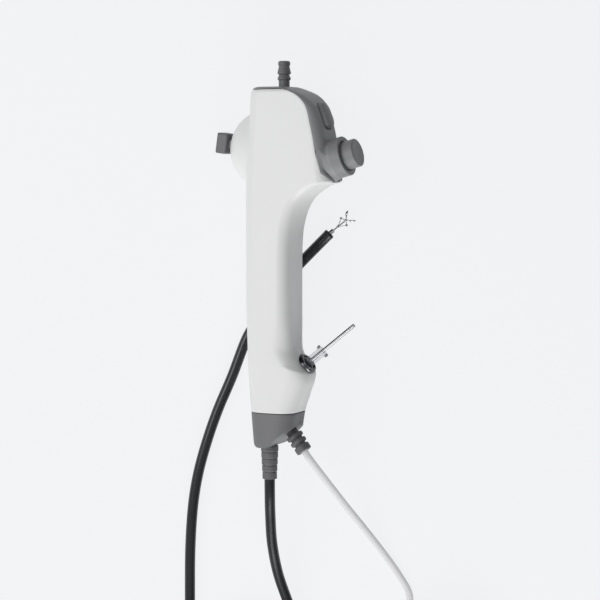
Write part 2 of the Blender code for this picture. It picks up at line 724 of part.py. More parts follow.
def thumb_lever(handle):
    """Lever with its pad outside the dome, the wire drum, the axle and its bushes."""
    lever = flat_frame((0, 0, 0), -LEVER_REST)
    arm_end = PAD_INNER + 1.0
    arm = capsule((0.0, 0.0), (-arm_end, 0.0), HUB_RADIUS, ARM_HEIGHT / 2, 12)
    hub = plate("control_lever", [arm], -ARM_THICKNESS / 2, ARM_THICKNESS / 2, GREY, handle, lever)
    clear = []
    for sign in (1, -1):
        corner = [(-HUB_RADIUS - 0.5, sign * ARM_HEIGHT / 2), (-arm_end - 5, sign * ARM_HEIGHT / 2),
                  (-arm_end - 5, sign * 12.0), (-HUB_RADIUS - 0.5, sign * 12.0)]
        clear.append(corner)
    for number, corner in enumerate(clear):
        boolean(hub, plate(f"arm_waist_{number}", [corner], -5, 5, None, handle, lever))
    spacer_end = AXLE_HALF - BUSH_LENGTH - FIT
    boolean(hub, rod("lever_spacer", AXLE_RADIUS + 2.0, -spacer_end, 0, None, handle, lever), "UNION")
    centre = (-PAD_INNER - PAD_THICKNESS / 2, 0, 0)
    pad = box("thumb_pad", (PAD_THICKNESS, PAD_HEIGHT, PAD_WIDTH), centre, None, handle, lever, 0.9)
    boolean(hub, pad, "UNION")
    boolean(hub, rod("lever_bore", AXLE_RADIUS + FIT, -20, 20, None, handle, lever))

    groove = WIRE_OFFSET - WIRE_RADIUS - FIT
    turned(
        "wire_drum",
        [
            (DRUM_FLANGE_RADIUS, DRUM_START + DRUM_WIDTH),
            (DRUM_FLANGE_RADIUS, DRUM_START + DRUM_WIDTH - DRUM_FLANGE),
            (groove, DRUM_START + DRUM_WIDTH - DRUM_FLANGE), (groove, DRUM_START + DRUM_FLANGE),
            (DRUM_FLANGE_RADIUS, DRUM_START + DRUM_FLANGE), (DRUM_FLANGE_RADIUS, DRUM_START),
            (AXLE_RADIUS + FIT, DRUM_START), (AXLE_RADIUS + FIT, DRUM_START + DRUM_WIDTH),
        ],
        PALE, handle, frame((0, 0, 0)), 24,
    )
    end = AXLE_HALF
    rod("lever_axle", AXLE_RADIUS, -end, end, STEEL, handle, frame((0, 0, 0)), 20)
    for side, sign in (("near", 1.0), ("far", -1.0)):
        turned(
            f"axle_bush_{side}",
            [
                (BUSH_RADIUS, end), (BUSH_RADIUS, end - BUSH_LENGTH),
                (AXLE_RADIUS + FIT, end - BUSH_LENGTH), (AXLE_RADIUS + FIT, end),
            ],
            PALE, handle, frame((0, 0, 0), (0, 0, sign)),
        )


def pull_wires(handle):
    """Two wires from the drum to the stop block, and their coil pipes down to the gland."""
    for side, sign in (("front", 1.0), ("rear", -1.0)):
        low = STOP_TOP_Y - STOP_HEIGHT + WIRE_TRAVEL + FIT
        rod(f"pull_wire_{side}", WIRE_RADIUS, low, 0.0, STEEL, handle,
            frame((sign * WIRE_OFFSET, 0, WIRE_Z), (0, 1, 0)), 8)
    low_z = HOSE_RADIUS + 2 * FIT
    size = (STOP_LENGTH, STOP_HEIGHT, STOP_NEAR - low_z)
    middle = (STOP_CENTRE_X, STOP_TOP_Y - STOP_HEIGHT / 2, (STOP_NEAR + low_z) / 2)
    block = box("wire_stop_block", size, middle, PALE, handle)
    for sign in (1.0, -1.0):
        bore = rod(f"wire_bore_{int(sign)}", WIRE_RADIUS + FIT, STOP_TOP_Y - 20, STOP_TOP_Y + 5, None,
                   handle, frame((sign * WIRE_OFFSET, 0, WIRE_Z), (0, 1, 0)), 12)
        boolean(block, bore)
    start = STOP_TOP_Y - STOP_HEIGHT - FIT
    end = GLAND_TOP + FIT
    tube("coil_pipe_front",
         [(WIRE_OFFSET, start, WIRE_Z), (5.1, -90, 6.1), (5.0, -122, 6.0), (4.1, -144, 4.6),
          (BOOT_X + 1.4, end, 3.6)], 2 * PIPE_RADIUS, STEEL, handle, 6.0)
    tube("coil_pipe_rear",
         [(-WIRE_OFFSET, start, WIRE_Z), (-4.4, -90, 6.1), (-2.4, -122, 6.0), (0.2, -144, 4.6),
          (BOOT_X - 1.4, end, 3.6)], 2 * PIPE_RADIUS, STEEL, handle, 6.0)


def suction_valve(handle):
    """Collar on the cover, cylinder inside, sprung button with its stem and piston."""
    valve = frame(mid(VALVE_BASE), axis_of(VALVE_LEAN))
    turned(
        "valve_collar",
        [
            (COLLAR_RADIUS - 0.5, COLLAR_HEIGHT), (COLLAR_RADIUS, COLLAR_HEIGHT - 0.5),
            (COLLAR_RADIUS, 1.1), (COLLAR_RADIUS - 0.5, 0.6), (COLLAR_RADIUS - 0.5, FIT),
            (STEM_RADIUS + 2.0, FIT), (STEM_RADIUS + 2.0, FIT + COLLAR_FLOOR),
            (COLLAR_BORE, FIT + COLLAR_FLOOR), (COLLAR_BORE, COLLAR_HEIGHT - 0.5),
            (COLLAR_BORE + 0.5, COLLAR_HEIGHT),
        ],
        GREY, handle, valve, 28,
    )
    cylinder = turned(
        "valve_cylinder",
        [
            (CYLINDER_RADIUS, 0.0), (CYLINDER_RADIUS, -CYLINDER_DEPTH), (NIPPLE_RADIUS, -CYLINDER_DEPTH),
            (NIPPLE_RADIUS, -CYLINDER_DEPTH - NIPPLE_LENGTH), (NIPPLE_BORE, -CYLINDER_DEPTH - NIPPLE_LENGTH),
            (NIPPLE_BORE, -CYLINDER_DEPTH + 2.0), (CYLINDER_BORE, -CYLINDER_DEPTH + 2.0),
            (CYLINDER_BORE, 0.0),
        ],
        PALE, handle, valve,
    )
    side_port = frame(along(VALVE_BASE, VALVE_LEAN, -SIDE_NIPPLE_DEPTH), axis_of(VALVE_LEAN + 90))
    nipple = rod("side_nipple", NIPPLE_RADIUS, 5.2, SIDE_NIPPLE_END, None, handle, side_port, 16)
    boolean(cylinder, nipple, "UNION")
    boolean(cylinder, rod("side_bore", NIPPLE_BORE, 2.0, 12, None, handle, side_port, 12))
    turned(
        "suction_button",
        [
            (0.0, CAP_TOP - 0.3), (CAP_RADIUS - 2.2, CAP_TOP - 0.1), (CAP_RADIUS - 1.0, CAP_TOP),
            (CAP_RADIUS - 0.2, CAP_TOP - 0.7), (CAP_RADIUS, CAP_TOP - 1.8), (CAP_RADIUS, CAP_SKIRT),
            (CAP_RADIUS - CAP_WALL, CAP_SKIRT), (CAP_RADIUS - CAP_WALL, CAP_TOP - 2.2),
            (STEM_RADIUS, CAP_TOP - 2.2), (STEM_RADIUS, -8.0), (PISTON_RADIUS, -8.0),
            (PISTON_RADIUS, -12.5), (0.0, -12.5),
        ],
        GREY, handle, valve, 28,
    )
    low = FIT + COLLAR_FLOOR + FIT + SPRING_WIRE / 2
    high = CAP_TOP - 2.2 - FIT - SPRING_WIRE / 2
    radius = (CAP_RADIUS - CAP_WALL + STEM_RADIUS) / 2 + 0.4
    steps = SPRING_TURNS * 10
    helix = []
    for k in range(steps + 1):
        turn = math.tau * k / 10
        helix.append((radius * math.cos(turn), radius * math.sin(turn), low + (high - low) * k / steps))
    spring = tube("valve_spring", helix, SPRING_WIRE, STEEL, handle, 3.4, 1)
    spring.matrix_local = valve


def remote_control(handle):
    """Oval remote button, its switch and the board that carries it."""
    place = side_frame(REMOTE_CENTRE, REMOTE_LEAN)
    button = plate("remote_button", [oval(REMOTE_LENGTH, REMOTE_WIDTH)], -REMOTE_DEPTH, REMOTE_PROUD,
                   GREY, handle, place)
    bevel = button.modifiers.new("rounding", "BEVEL")
    bevel.width = 0.7 * mm
    bevel.segments = 1
    bevel.limit_method = "ANGLE"
    lip = plate("remote_lip", [oval(REMOTE_LENGTH + 1.6, REMOTE_WIDTH + 1.6)],
                -REMOTE_DEPTH - REMOTE_LIP, -REMOTE_DEPTH + 0.01, None, handle, place)
    boolean(button, lip, "UNION")
    boolean(button, rod("remote_foot", 1.5, REMOTE_FOOT, 0, None, handle, place, 16), "UNION")
    switch = box("tact_switch", (SWITCH_SIZE, SWITCH_SIZE, SWITCH_HEIGHT),
                 (0, 0, SWITCH_TOP - SWITCH_HEIGHT / 2), STEEL, handle, place)
    boolean(switch, rod("switch_plunger", 1.7, SWITCH_TOP - 1, PLUNGER_TOP, None, handle, place, 16), "UNION")
    box("switch_board", (BOARD_WIDTH, BOARD_LENGTH, BOARD_THICKNESS),
        (0, 0, BOARD_TOP - BOARD_THICKNESS / 2), BOARD, handle, place)


def barb(handle):
    """Hose barb on the head: two rings, a rim, and the spigot under the cover."""
    rings = []
    for centre in (41.9, 38.0):
        rings += [(BARB_NECK, centre + 0.9), (BARB_RING, centre + 0.5), (BARB_RING, centre - 0.5),
                  (BARB_NECK, centre - 0.9)]
    under = TOP_Y - WALL - FIT
    profile = [(BARB_NECK + 0.25, BARB_TOP), (BARB_NECK + 0.25, BARB_TOP - 1.6), (BARB_NECK, BARB_TOP - 2.0)]
    profile += rings
    profile += [(BARB_NECK, under), (5.0, under), (5.0, under - 1.6), (2.6, under - 1.6), (2.6, 27.0),
                (1.2, 27.0), (1.2, under), (BARB_BORE, under), (BARB_BORE, BARB_TOP)]
    turned("suction_barb", profile, RUBBER, handle, frame((BARB_X, 0, 0), (0, 1, 0)), 16)


def instrument_port(handle):
    """Flange, Luer barrel, seal and the branch that joins the working channel."""
    port = frame(mid(PORT_POINT), axis_of(PORT_ANGLE))
    turned(
        "port_flange",
        [
            (FLANGE_RADIUS - 0.6, 1.5), (FLANGE_RADIUS, 0.9), (FLANGE_RADIUS, -0.9),
            (SPIGOT_RADIUS, -0.9), (SPIGOT_RADIUS, -SPIGOT_DEPTH), (LUER_RADIUS + FIT, -SPIGOT_DEPTH),
            (LUER_RADIUS + FIT, 0.3), (FLANGE_RADIUS - 1.6, 0.9), (FLANGE_RADIUS - 1.6, 1.5),
        ],
        STEEL, handle, port, 24,
    )
    turned(
        "luer_port",
        [
            (LUER_LUG, LUER_LENGTH), (LUER_LUG, LUER_LENGTH - 1.3), (LUER_RADIUS, LUER_LENGTH - 1.3),
            (LUER_RADIUS, -SPIGOT_DEPTH), (LUER_BORE, -SPIGOT_DEPTH), (LUER_BORE, LUER_LENGTH),
        ],
        CLEAR, handle, port, 20,
    )
    seal_top = -SPIGOT_DEPTH - FIT
    turned(
        "port_seal",
        [
            (SPIGOT_RADIUS, seal_top), (SPIGOT_RADIUS, seal_top - SEAL_THICKNESS),
            (SHAFT_RADIUS + FIT, seal_top - SEAL_THICKNESS), (SHAFT_RADIUS + FIT, seal_top),
        ],
        RUBBER, handle, port,
    )
    start = seal_top - SEAL_THICKNESS - FIT
    route = [along(PORT_POINT, PORT_ANGLE, start - step) for step in (0.0, 3.0, 6.0, 10.0)]
    route += [(6.6, -136.5, 0.0), (3.6, -143.0, 0.0), (BOOT_X, -150.0, 0.0), (BOOT_X, GLAND_TOP + FIT, 0.0)]
    branch = as_mesh(tube("channel_branch", route, 5.6, None, handle, 3.2), PALE)
    arm = [(9.6, BRANCH_TOP, 0.0), (9.5, -119.0, 0.0), (8.6, -127.0, 0.0), (7.0, -134.0, 0.0)]
    boolean(branch, as_mesh(tube("suction_arm", arm, 2 * HOSE_RADIUS, None, handle, 3.2)), "UNION")
    bore = rod("branch_bore", SHAFT_RADIUS + 2 * FIT, start - 9, start + 3, None, handle, port, 16)
    boolean(branch, bore)


def hoses(handle):
    """Suction line from the barb to the valve, and on to the channel branch."""
    side_port = along(VALVE_BASE, VALVE_LEAN, -SIDE_NIPPLE_DEPTH)
    start = along(side_port, VALVE_LEAN + 90, SIDE_NIPPLE_END + FIT)
    tube("suction_hose",
         [start, (22.0, 4.6, 0), (17.4, 11.4, 0), (12.6, 17.2, 0), (BARB_X, 22.6, 0), (BARB_X, 27.0 - FIT, 0)],
         2 * HOSE_RADIUS, HOSE, handle, 4.0)
    end = along(VALVE_BASE, VALVE_LEAN, -CYLINDER_DEPTH - NIPPLE_LENGTH - 3 * FIT)
    straight = along(VALVE_BASE, VALVE_LEAN, -CYLINDER_DEPTH - NIPPLE_LENGTH - 2.5)
    tube("channel_hose",
         [end, straight, (12.4, -15.6, 0), (10.6, -22.0, 0), (9.9, -34, 0), (9.6, -60, 0), (9.8, -88, 0),
          (9.6, BRANCH_TOP + FIT, 0)],
         2 * HOSE_RADIUS, HOSE, handle, 6.0)


def ribbed(length, top, low, core, ribs, bore, plug_radius, plug_length):
    """Profile of a strain relief from its plug at height 0 down to -length."""
    pitch = length / ribs
    profile = [(plug_radius, plug_length), (plug_radius, 0.0)]
    for k in range(ribs):
        outer = top + (low - top) * k / max(ribs - 1, 1)
        start = -k * pitch
        profile += [(outer, start), (outer, start - 0.62 * pitch)]
        if k < ribs - 1:
            profile += [(core, start - 0.66 * pitch), (core, start - 0.96 * pitch)]
    profile += [(profile[-1][0], -length), (bore, -length), (bore, plug_length)]
    return profile


def boots(handle):
    """Gland in the end cap and the two ribbed strain reliefs."""
    floor = CAP_BOTTOM_Y + CAP_FLOOR
    upward = frame((BOOT_X, 0, 0), (0, 1, 0))
    plug_top = floor + FIT
    turned(
        "insertion_gland",
        [(0.0, GLAND_TOP), (3.2, GLAND_TOP), (3.2, plug_top + FIT), (0.0, plug_top + FIT)],
        STEEL, handle, upward,
    )
    start = CAP_BOTTOM_Y - FIT
    tube_bore = TUBE_DIAMETER / 2 + FIT
    boot = ribbed(start - BOOT_END_Y, BOOT_TOP_RADIUS, BOOT_LOW_RADIUS, BOOT_LOW_RADIUS - 0.45, BOOT_RIBS,
                  tube_bore, PLUG_THROUGH + 1.0, plug_top - start)
    turned("insertion_boot", boot, RUBBER, handle, frame((BOOT_X, start, 0), (0, 1, 0)), 16)
    cable_bore = CABLE_DIAMETER / 2 + FIT
    boot = ribbed(CABLE_BOOT_LENGTH - FIT, CABLE_BOOT_RADIUS, CABLE_BOOT_RADIUS - 0.2, CABLE_BOOT_CORE,
                  CABLE_BOOT_RIBS, cable_bore, PLUG_THROUGH, 3.2)
    place = frame(along(CABLE_BOOT_POINT, CABLE_BOOT_ANGLE, FIT), axis_of(CABLE_BOOT_ANGLE + 180))
    turned("cable_boot", boot, RUBBER, handle, place, 16)


def tip_route(distance, height):
    """Centre and heading of the tube at a distance back from its end."""
    heading = math.radians(TIP_HEADING)
    straight = min(distance, STRAIGHT_RUN)
    x = TUBE_END[0] - straight * math.cos(heading)
    y = TUBE_END[1] - straight * math.sin(heading)
    bend = max(distance - STRAIGHT_RUN, 0.0) / RUN_RADIUS
    x -= RUN_RADIUS * (math.sin(heading + bend) - math.sin(heading))
    y -= RUN_RADIUS * (math.cos(heading) - math.cos(heading + bend))
    return (x, y, height), math.degrees(heading + bend)


def pivot_distance(number):
    """Distance from the tube end back to bending joint number 1 to LINK_COUNT + 1."""
    return TIP_LENGTH + (LINK_COUNT + 1 - number) * LINK_PITCH


def bending_section(table, height):
    """Chain of ring links with roof-shaped ends, as each link tilts on its neighbour."""
    for number in range(1, LINK_COUNT + 1):
        middle = (pivot_distance(number) + pivot_distance(number + 1)) / 2
        point, heading = tip_route(middle, height)
        place = flat_frame(point, heading) @ Matrix.Rotation(math.radians(90), 4, "Y")
        half = LINK_PITCH / 2 - FIT / 2
        ring = turned(
            f"bend_ring_{number}",
            [(LINK_RADIUS, half), (LINK_RADIUS, -half), (LINK_BORE, -half), (LINK_BORE, half)],
            None, table, place, 16,
        )
        ring = as_mesh(ring, STEEL)
        slope = math.tan(math.radians(LINK_WEDGE))
        for vertex in ring.data.vertices:
            vertex.co.z -= math.copysign(abs(vertex.co.y) * slope, vertex.co.z)


def distal_tip(table, height):
    """Rigid tip with the channel mouth, the camera lens and the light window."""
    length = TIP_LENGTH - END_ROOM
    end, heading = tip_route(0.0, height)
    place = flat_frame(end, heading) @ Matrix.Rotation(math.radians(90), 4, "Y")
    radius = TUBE_DIAMETER / 2
    tip = turned(
        "distal_tip",
        [(0.0, 0.0), (radius - 0.5, 0.0), (radius, -0.5), (radius, -length), (0.0, -length)],
        BLACK, table, place, 24,
    )
    channel = flat_frame(end, FORCEPS_HEADING) @ Matrix.Rotation(math.radians(90), 4, "Y")
    boolean(tip, rod("channel_bore", CHANNEL_RADIUS, -TIP_LENGTH - 2, 3, None, table, channel, 16))
    for name, size, offset in (("camera_lens", LENS_RADIUS, -LENS_OFFSET), ("led_window", LED_RADIUS, LENS_OFFSET)):
        seat = place @ Matrix.Translation((offset * mm, 0, 0))
        boolean(tip, rod(f"{name}_seat", size + 0.1, -1.5, 1.0, None, table, seat, 16))
        rod(name, size, -1.4, -0.05, CLEAR, table, seat, 16)


def forceps_shaft(handle):
    port = frame(mid(PORT_POINT), axis_of(PORT_ANGLE))
    rod("forceps_shaft", SHAFT_RADIUS, -SHAFT_IN, SHAFT_OUT, STEEL, handle, port, 16)


def tail_point(opening):
    """Where a jaw's tail pin lies when the jaw is open by an angle, for the jaw above."""
    angle = math.radians(180.0 + TAIL_ANGLE + opening)
    return TAIL_LENGTH * math.cos(angle), TAIL_LENGTH * math.sin(angle)


def rod_point(opening):
    x, y = tail_point(opening)
    return x - math.sqrt(LINK_ARM**2 - y**2)


def forceps_head(table, height):
    """Clevis, two cup jaws on one pin, two links and the drive rod that opens them."""
    end, _ = tip_route(0.0, height)
    pivot = along(end[:2], FORCEPS_HEADING, PIVOT_DISTANCE)
    place = flat_frame((pivot[0], pivot[1], height), FORCEPS_HEADING)
    axial = place @ Matrix.Rotation(math.radians(90), 4, "Y")

    outside = CLEVIS_LAYER + CLEVIS_PLATE
    base_radius = outside + 0.05
    clevis = turned(
        "forceps_clevis",
        [
            (base_radius, -CLEVIS_BASE), (base_radius, -CLEVIS_BASE - CLEVIS_LENGTH),
            (ROD_RADIUS + 0.15, -CLEVIS_BASE - CLEVIS_LENGTH), (ROD_RADIUS + 0.15, -CLEVIS_BASE),
        ],
        STEEL, table, axial, 16,
    )
    for sign in (1, -1):
        low, high = sorted((sign * CLEVIS_LAYER, sign * outside))
        bar = capsule((-CLEVIS_BASE - 1.0, 0.0), (0.0, 0.0), 0.62, EYE_RADIUS)
        cheek = plate(f"cheek_{sign}", [bar], low, high, None, table, place)
        boolean(clevis, cheek, "UNION")
    boolean(clevis, rod("clevis_hole", PIN_RADIUS + 0.08, -3, 3, None, table, place, 12))
    rod("jaw_pin", PIN_RADIUS, -outside, outside, STEEL, table, place, 12)

    for side, sign in (("left", 1), ("right", -1)):
        jaw_frame = place @ Matrix.Rotation(math.radians(sign * JAW_OPEN), 4, "Z")
        low, high = sorted((sign * JAW_LAYER, sign * (JAW_LAYER + JAW_PLATE)))
        tail = tail_point(0.0)
        tail = (tail[0], sign * tail[1])
        arm = capsule((JAW_LENGTH - CUP_LENGTH + 0.4, sign * 0.5), (0.0, 0.0), 0.42, EYE_RADIUS)
        jaw = plate(f"jaw_{side}", [arm], low, high, STEEL, table, jaw_frame)
        bar = capsule(tail, (0.0, 0.0), 0.5, 0.6)
        boolean(jaw, plate(f"tail_{side}", [bar], low, high, None, table, jaw_frame), "UNION")
        boolean(jaw, jaw_cup(side, sign, table, jaw_frame), "UNION")
        pin_low, pin_high = sorted((sign * JAW_LAYER, sign * (LINK_LAYER + LINK_PLATE)))
        pin = frame((tail[0], tail[1], 0.0))
        boolean(jaw, rod(f"tail_pin_{side}", PIN_RADIUS, pin_low, pin_high, None, table,
                         jaw_frame @ pin, 12), "UNION")
        boolean(jaw, rod(f"pivot_hole_{side}", PIN_RADIUS + 0.12, -2, 2, None, table, jaw_frame, 12))

        x, y = tail_point(JAW_OPEN)
        joint = (x, sign * y)
        start = (rod_point(JAW_OPEN), 0.0)
        low, high = sorted((sign * LINK_LAYER, sign * (LINK_LAYER + LINK_PLATE)))
        bar = capsule(start, joint, 0.62, 0.9, 6)
        holes = [circle(PIN_RADIUS + 0.08, start, 12), slot_about(joint, start)]
        plate(f"link_{side}", [bar] + holes, low, high, STEEL, table, place)

    drive = rod_point(JAW_OPEN)
    head = box("drive_rod", (1.5, 0.9, 0.84), (drive - 0.1, 0, 0), STEEL, table, place)
    boolean(head, rod("rod_bar", ROD_RADIUS, -CLEVIS_BASE - 4.5, drive - 0.4, None, table, axial, 12), "UNION")
    reach = LINK_LAYER + LINK_PLATE
    boolean(head, rod("rod_pins", PIN_RADIUS, -reach, reach, None, table,
                      place @ frame((drive, 0, 0)), 12), "UNION")


def slot_about(centre, towards):
    """Long hole at the open pivot, so that link and tail may drift apart a little."""
    aim = Vector((centre[0] - towards[0], centre[1] - towards[1])).normalized() * 0.16
    start = (centre[0] - aim.x, centre[1] - aim.y)
    end = (centre[0] + aim.x, centre[1] + aim.y)
    return capsule(start, end, PIN_RADIUS + 0.1, PIN_RADIUS + 0.1, 6)


def jaw_cup(side, sign, table, jaw_frame):
    """Half of a hollow egg whose rim faces the other jaw."""
    middle = JAW_LENGTH - CUP_LENGTH / 2
    shape = bmesh.new()
    grow = Matrix.Diagonal((CUP_LENGTH / 2, 1.0, JAW_WIDTH / 2, 1.0))
    bmesh.ops.create_uvsphere(shape, u_segments=10, v_segments=6, radius=mm, matrix=grow)
    mesh = bpy.data.meshes.new(f"cup_{side}")
    shape.to_mesh(mesh)
    shape.free()
    centre = jaw_frame @ Matrix.Translation((middle * mm, 0, 0))
    cup = add(f"cup_{side}", mesh, None, table, centre)
    shape = bmesh.new()
    shrink = Matrix.Diagonal((CUP_LENGTH / 2 - 0.3, 0.7, JAW_WIDTH / 2 - 0.3, 1.0))
    bmesh.ops.create_uvsphere(shape, u_segments=8, v_segments=5, radius=mm, matrix=shrink)
    mesh = bpy.data.meshes.new(f"cup_room_{side}")
    shape.to_mesh(mesh)
    shape.free()
    boolean(cup, add(f"cup_room_{side}", mesh, None, table, centre))
    half = (0.0, -sign * (2.0 - 0.08), 0.0)
    boolean(cup, box(f"cup_half_{side}", (8, 4, 8), half, None, table, centre))
    return as_cutter(cup)


def coil_ring(name, centre, radius, width, height, finish, table):
    """Outer shape of a coil lying on the table."""
    edge = min(width, height) * 0.22
    out, inn, top = radius + width / 2, radius - width / 2, LIE + height
    turned(
        name,
        [
            (out - edge, top), (out, top - edge), (out, LIE + edge), (out - edge, LIE),
            (inn + edge, LIE), (inn, LIE + edge), (inn, top - edge), (inn + edge, top),
        ],
        finish, table, frame((*centre, 0.0)), 28,
    )
    return top


def cords(table, to_table):
    """Insertion tube and video cable: straight stretches, coils and the plug end."""
    radius = TUBE_DIAMETER / 2
    low = LIE + radius
    inside = to_table((BOOT_X, CAP_BOTTOM_Y + FIT, 0.0))
    leaving = to_table((BOOT_X, BOOT_END_Y - 6.0, 0.0))
    middle = to_table((BOOT_X, (CAP_BOTTOM_Y + BOOT_END_Y) / 2, 0.0))
    coil_top = coil_ring("insertion_coil", TUBE_COIL_CENTRE, TUBE_COIL_RADIUS, 2.05 * TUBE_DIAMETER,
                         TUBE_DIAMETER, BLACK, table)
    over = coil_top + FIT + radius
    tube("insertion_lead",
         [inside, middle, leaving, (2.2, -206, 20.6), (3.2, -224, 16.2), (6.6, -243, 11.8),
          (12.8, -262, over), (18.4, -280, over)],
         TUBE_DIAMETER, BLACK, table)

    points = [(-44.6, -280.6, low), (-44.6, -258.0, low), (-44.2, -230.0, low), (-42.6, -206.0, low),
              (-39.6, -187.0, low), (-35.2, -168.0, low), (-28.9, -149.0, low), (-20.6, -129.4, low)]
    first_pivot = pivot_distance(1)
    for distance in (first_pivot + 34.0, first_pivot + 22.0, first_pivot + 10.0, first_pivot + END_ROOM):
        points.append(tip_route(distance, low)[0])
    tube("insertion_tube", points, TUBE_DIAMETER, BLACK, table)

    width = (CABLE_COIL_LAYERS + 0.1) * CABLE_DIAMETER
    top = coil_ring("video_coil", CABLE_COIL_CENTRE, CABLE_COIL_RADIUS, width,
                    CABLE_COIL_LAYERS * CABLE_DIAMETER, PALE, table)
    radius = CABLE_DIAMETER / 2
    low = LIE + radius
    boot = [to_table(along(CABLE_BOOT_POINT, CABLE_BOOT_ANGLE, step)) for step in (-2.0, 4.0, 11.5, 17.0)]
    tube("video_cable",
         boot + [(36.2, -188.0, 24.0), (47.0, -202.5, 14.6), (57.5, -216.5, 8.0), (68.5, -231.5, 4.0),
                 (77.5, -246.0, low + 0.15), (82.8, -259.5, low + 0.1), (84.0, -271.4, low)],
         CABLE_DIAMETER, PALE, table)
    high = top + FIT + radius
    axis_height = top + FIT + PLUG_HEIGHT / 2
    tube("video_cable_end",
         [(128.0, -293.0, high), (127.0, -284.0, high), (121.8, -276.4, high + 0.2),
          (114.4, -272.2, (high + axis_height) / 2), (107.4, -274.0, axis_height - 0.2),
          (PLUG_X, PLUG_BOOT_Y + 5.0, axis_height),
          (PLUG_X, PLUG_BOOT_Y + FIT, axis_height)],
         CABLE_DIAMETER, PALE, table, 5.0)
    return axis_height


def plug(table, axis_height):
    """Generic plug: boot, two shells and the contact board between them."""
    forward = frame((PLUG_X, PLUG_BOOT_Y, axis_height), (0, 1, 0))
    turned(
        "plug_boot",
        [
            (2.7, 0.0), (2.9, -1.2), (4.2, -PLUG_BOOT_LENGTH), (PLUG_BOOT_BORE, -PLUG_BOOT_LENGTH),
            (PLUG_BOOT_BORE, 0.0),
        ],
        RUBBER, table, forward,
    )
    start = PLUG_BOOT_Y - PLUG_BOOT_LENGTH - FIT
    half = PLUG_HEIGHT / 2
    board_width = PLUG_WIDTH - 6.0
    board_length = PLUG_LENGTH * 0.5
    board_thickness = 1.6
    front = start - PLUG_LENGTH
    for name, sign in (("plug_shell_upper", 1), ("plug_shell_lower", -1)):
        centre = (PLUG_X, start - PLUG_LENGTH / 2, axis_height + sign * (half / 2 + FIT / 4))
        shell = box(name, (PLUG_WIDTH, PLUG_LENGTH, half - FIT / 2), centre, PALE, table, None, 1.0)
        pocket = (board_width + 2 * FIT, board_length + 2 * FIT, board_thickness + 2 * FIT)
        middle = (PLUG_X, front + board_length / 2, axis_height)
        boolean(shell, box(f"pocket_{name}", pocket, middle, None, table))
    size = (board_width, board_length + PLUG_BOARD_OUT, board_thickness)
    centre = (PLUG_X, front + (board_length - PLUG_BOARD_OUT) / 2, axis_height)
    box("plug_contacts", size, centre, BOARD, table)


def lay_matrix():
    """Pose of the handle: rolled by ROLL, its pad on the table, its grip on the tube."""
    roll = Matrix.Rotation(math.radians(-ROLL), 4, "Y")
    lever = Matrix.Rotation(math.radians(-LEVER_REST), 4, "Z")
    corners = []
    for x in (-PAD_INNER, -PAD_INNER - PAD_THICKNESS):
        for y in (-PAD_HEIGHT / 2, PAD_HEIGHT / 2):
            for z in (-PAD_WIDTH / 2, PAD_WIDTH / 2):
                corners.append(roll @ lever @ Vector((x, y, z)))
    corner = min(corners, key=lambda point: point.z)
    heights = np.array([CROSSING_Y])
    front, rear = line_at(FRONT_LINE, heights)[0], line_at(REAR_LINE, heights)[0]
    lean = math.radians(ROLL)
    lowest = (front + rear) / 2 * math.sin(lean) - CORNER
    lowest -= ((front - rear) / 2 - CORNER) * math.sin(lean) + (HALF_WIDTH - CORNER) * math.cos(lean)
    over_tube = LIE + TUBE_DIAMETER + FIT
    pivot = -corner.z - PAD_CORNER_LIFT
    grip = over_tube - lowest
    pitch = math.asin((grip - pivot) / (corner.y - CROSSING_Y))
    pivot += corner.y * math.sin(pitch)
    lay = Matrix.Translation((0.0, 0.0, pivot * mm)) @ Matrix.Rotation(-pitch, 4, "X") @ roll
    return lay


def settle(root, loose):
    """Centre the object on its foot print, leaving the cords and what is on them out."""
    bpy.context.view_layer.update()
    depsgraph = bpy.context.evaluated_depsgraph_get()
    corners = []
    for obj in PARTS.objects:
        if obj.type == "EMPTY" or obj.name.startswith(loose):
            continue
        mesh = bpy.data.meshes.new_from_object(obj.evaluated_get(depsgraph))
        corners += [obj.matrix_world @ vertex.co for vertex in mesh.vertices]
        bpy.data.meshes.remove(mesh)
    low = [min(point[axis] for point in corners) for axis in range(3)]
    high = [max(point[axis] for point in corners) for axis in range(3)]
    root.location = (-(low[0] + high[0]) / 2, -(low[1] + high[1]) / 2, 0.0)
    return low[2]


def build():
    root = empty("endoscope")
    lay = lay_matrix()
    handle = empty("handle", root, lay)
    table = empty("table", root)

    def to_table(point):
        return tuple(lay @ (Vector(point) * mm) / mm)

    housing(handle)
    thumb_lever(handle)
    pull_wires(handle)
    suction_valve(handle)
    remote_control(handle)
    barb(handle)
    instrument_port(handle)
    hoses(handle)
    boots(handle)
    forceps_shaft(handle)

    height = LIE + TUBE_DIAMETER / 2
    bending_section(table, height)
    distal_tip(table, height)
    forceps_head(table, height)
    plug(table, cords(table, to_table))
    lowest = settle(root, CORD_PIECES)
    handle.location.z -= lowest


build()
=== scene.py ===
import json
import math

import bpy
import bmesh
import numpy as np
from mathutils import Matrix, Vector


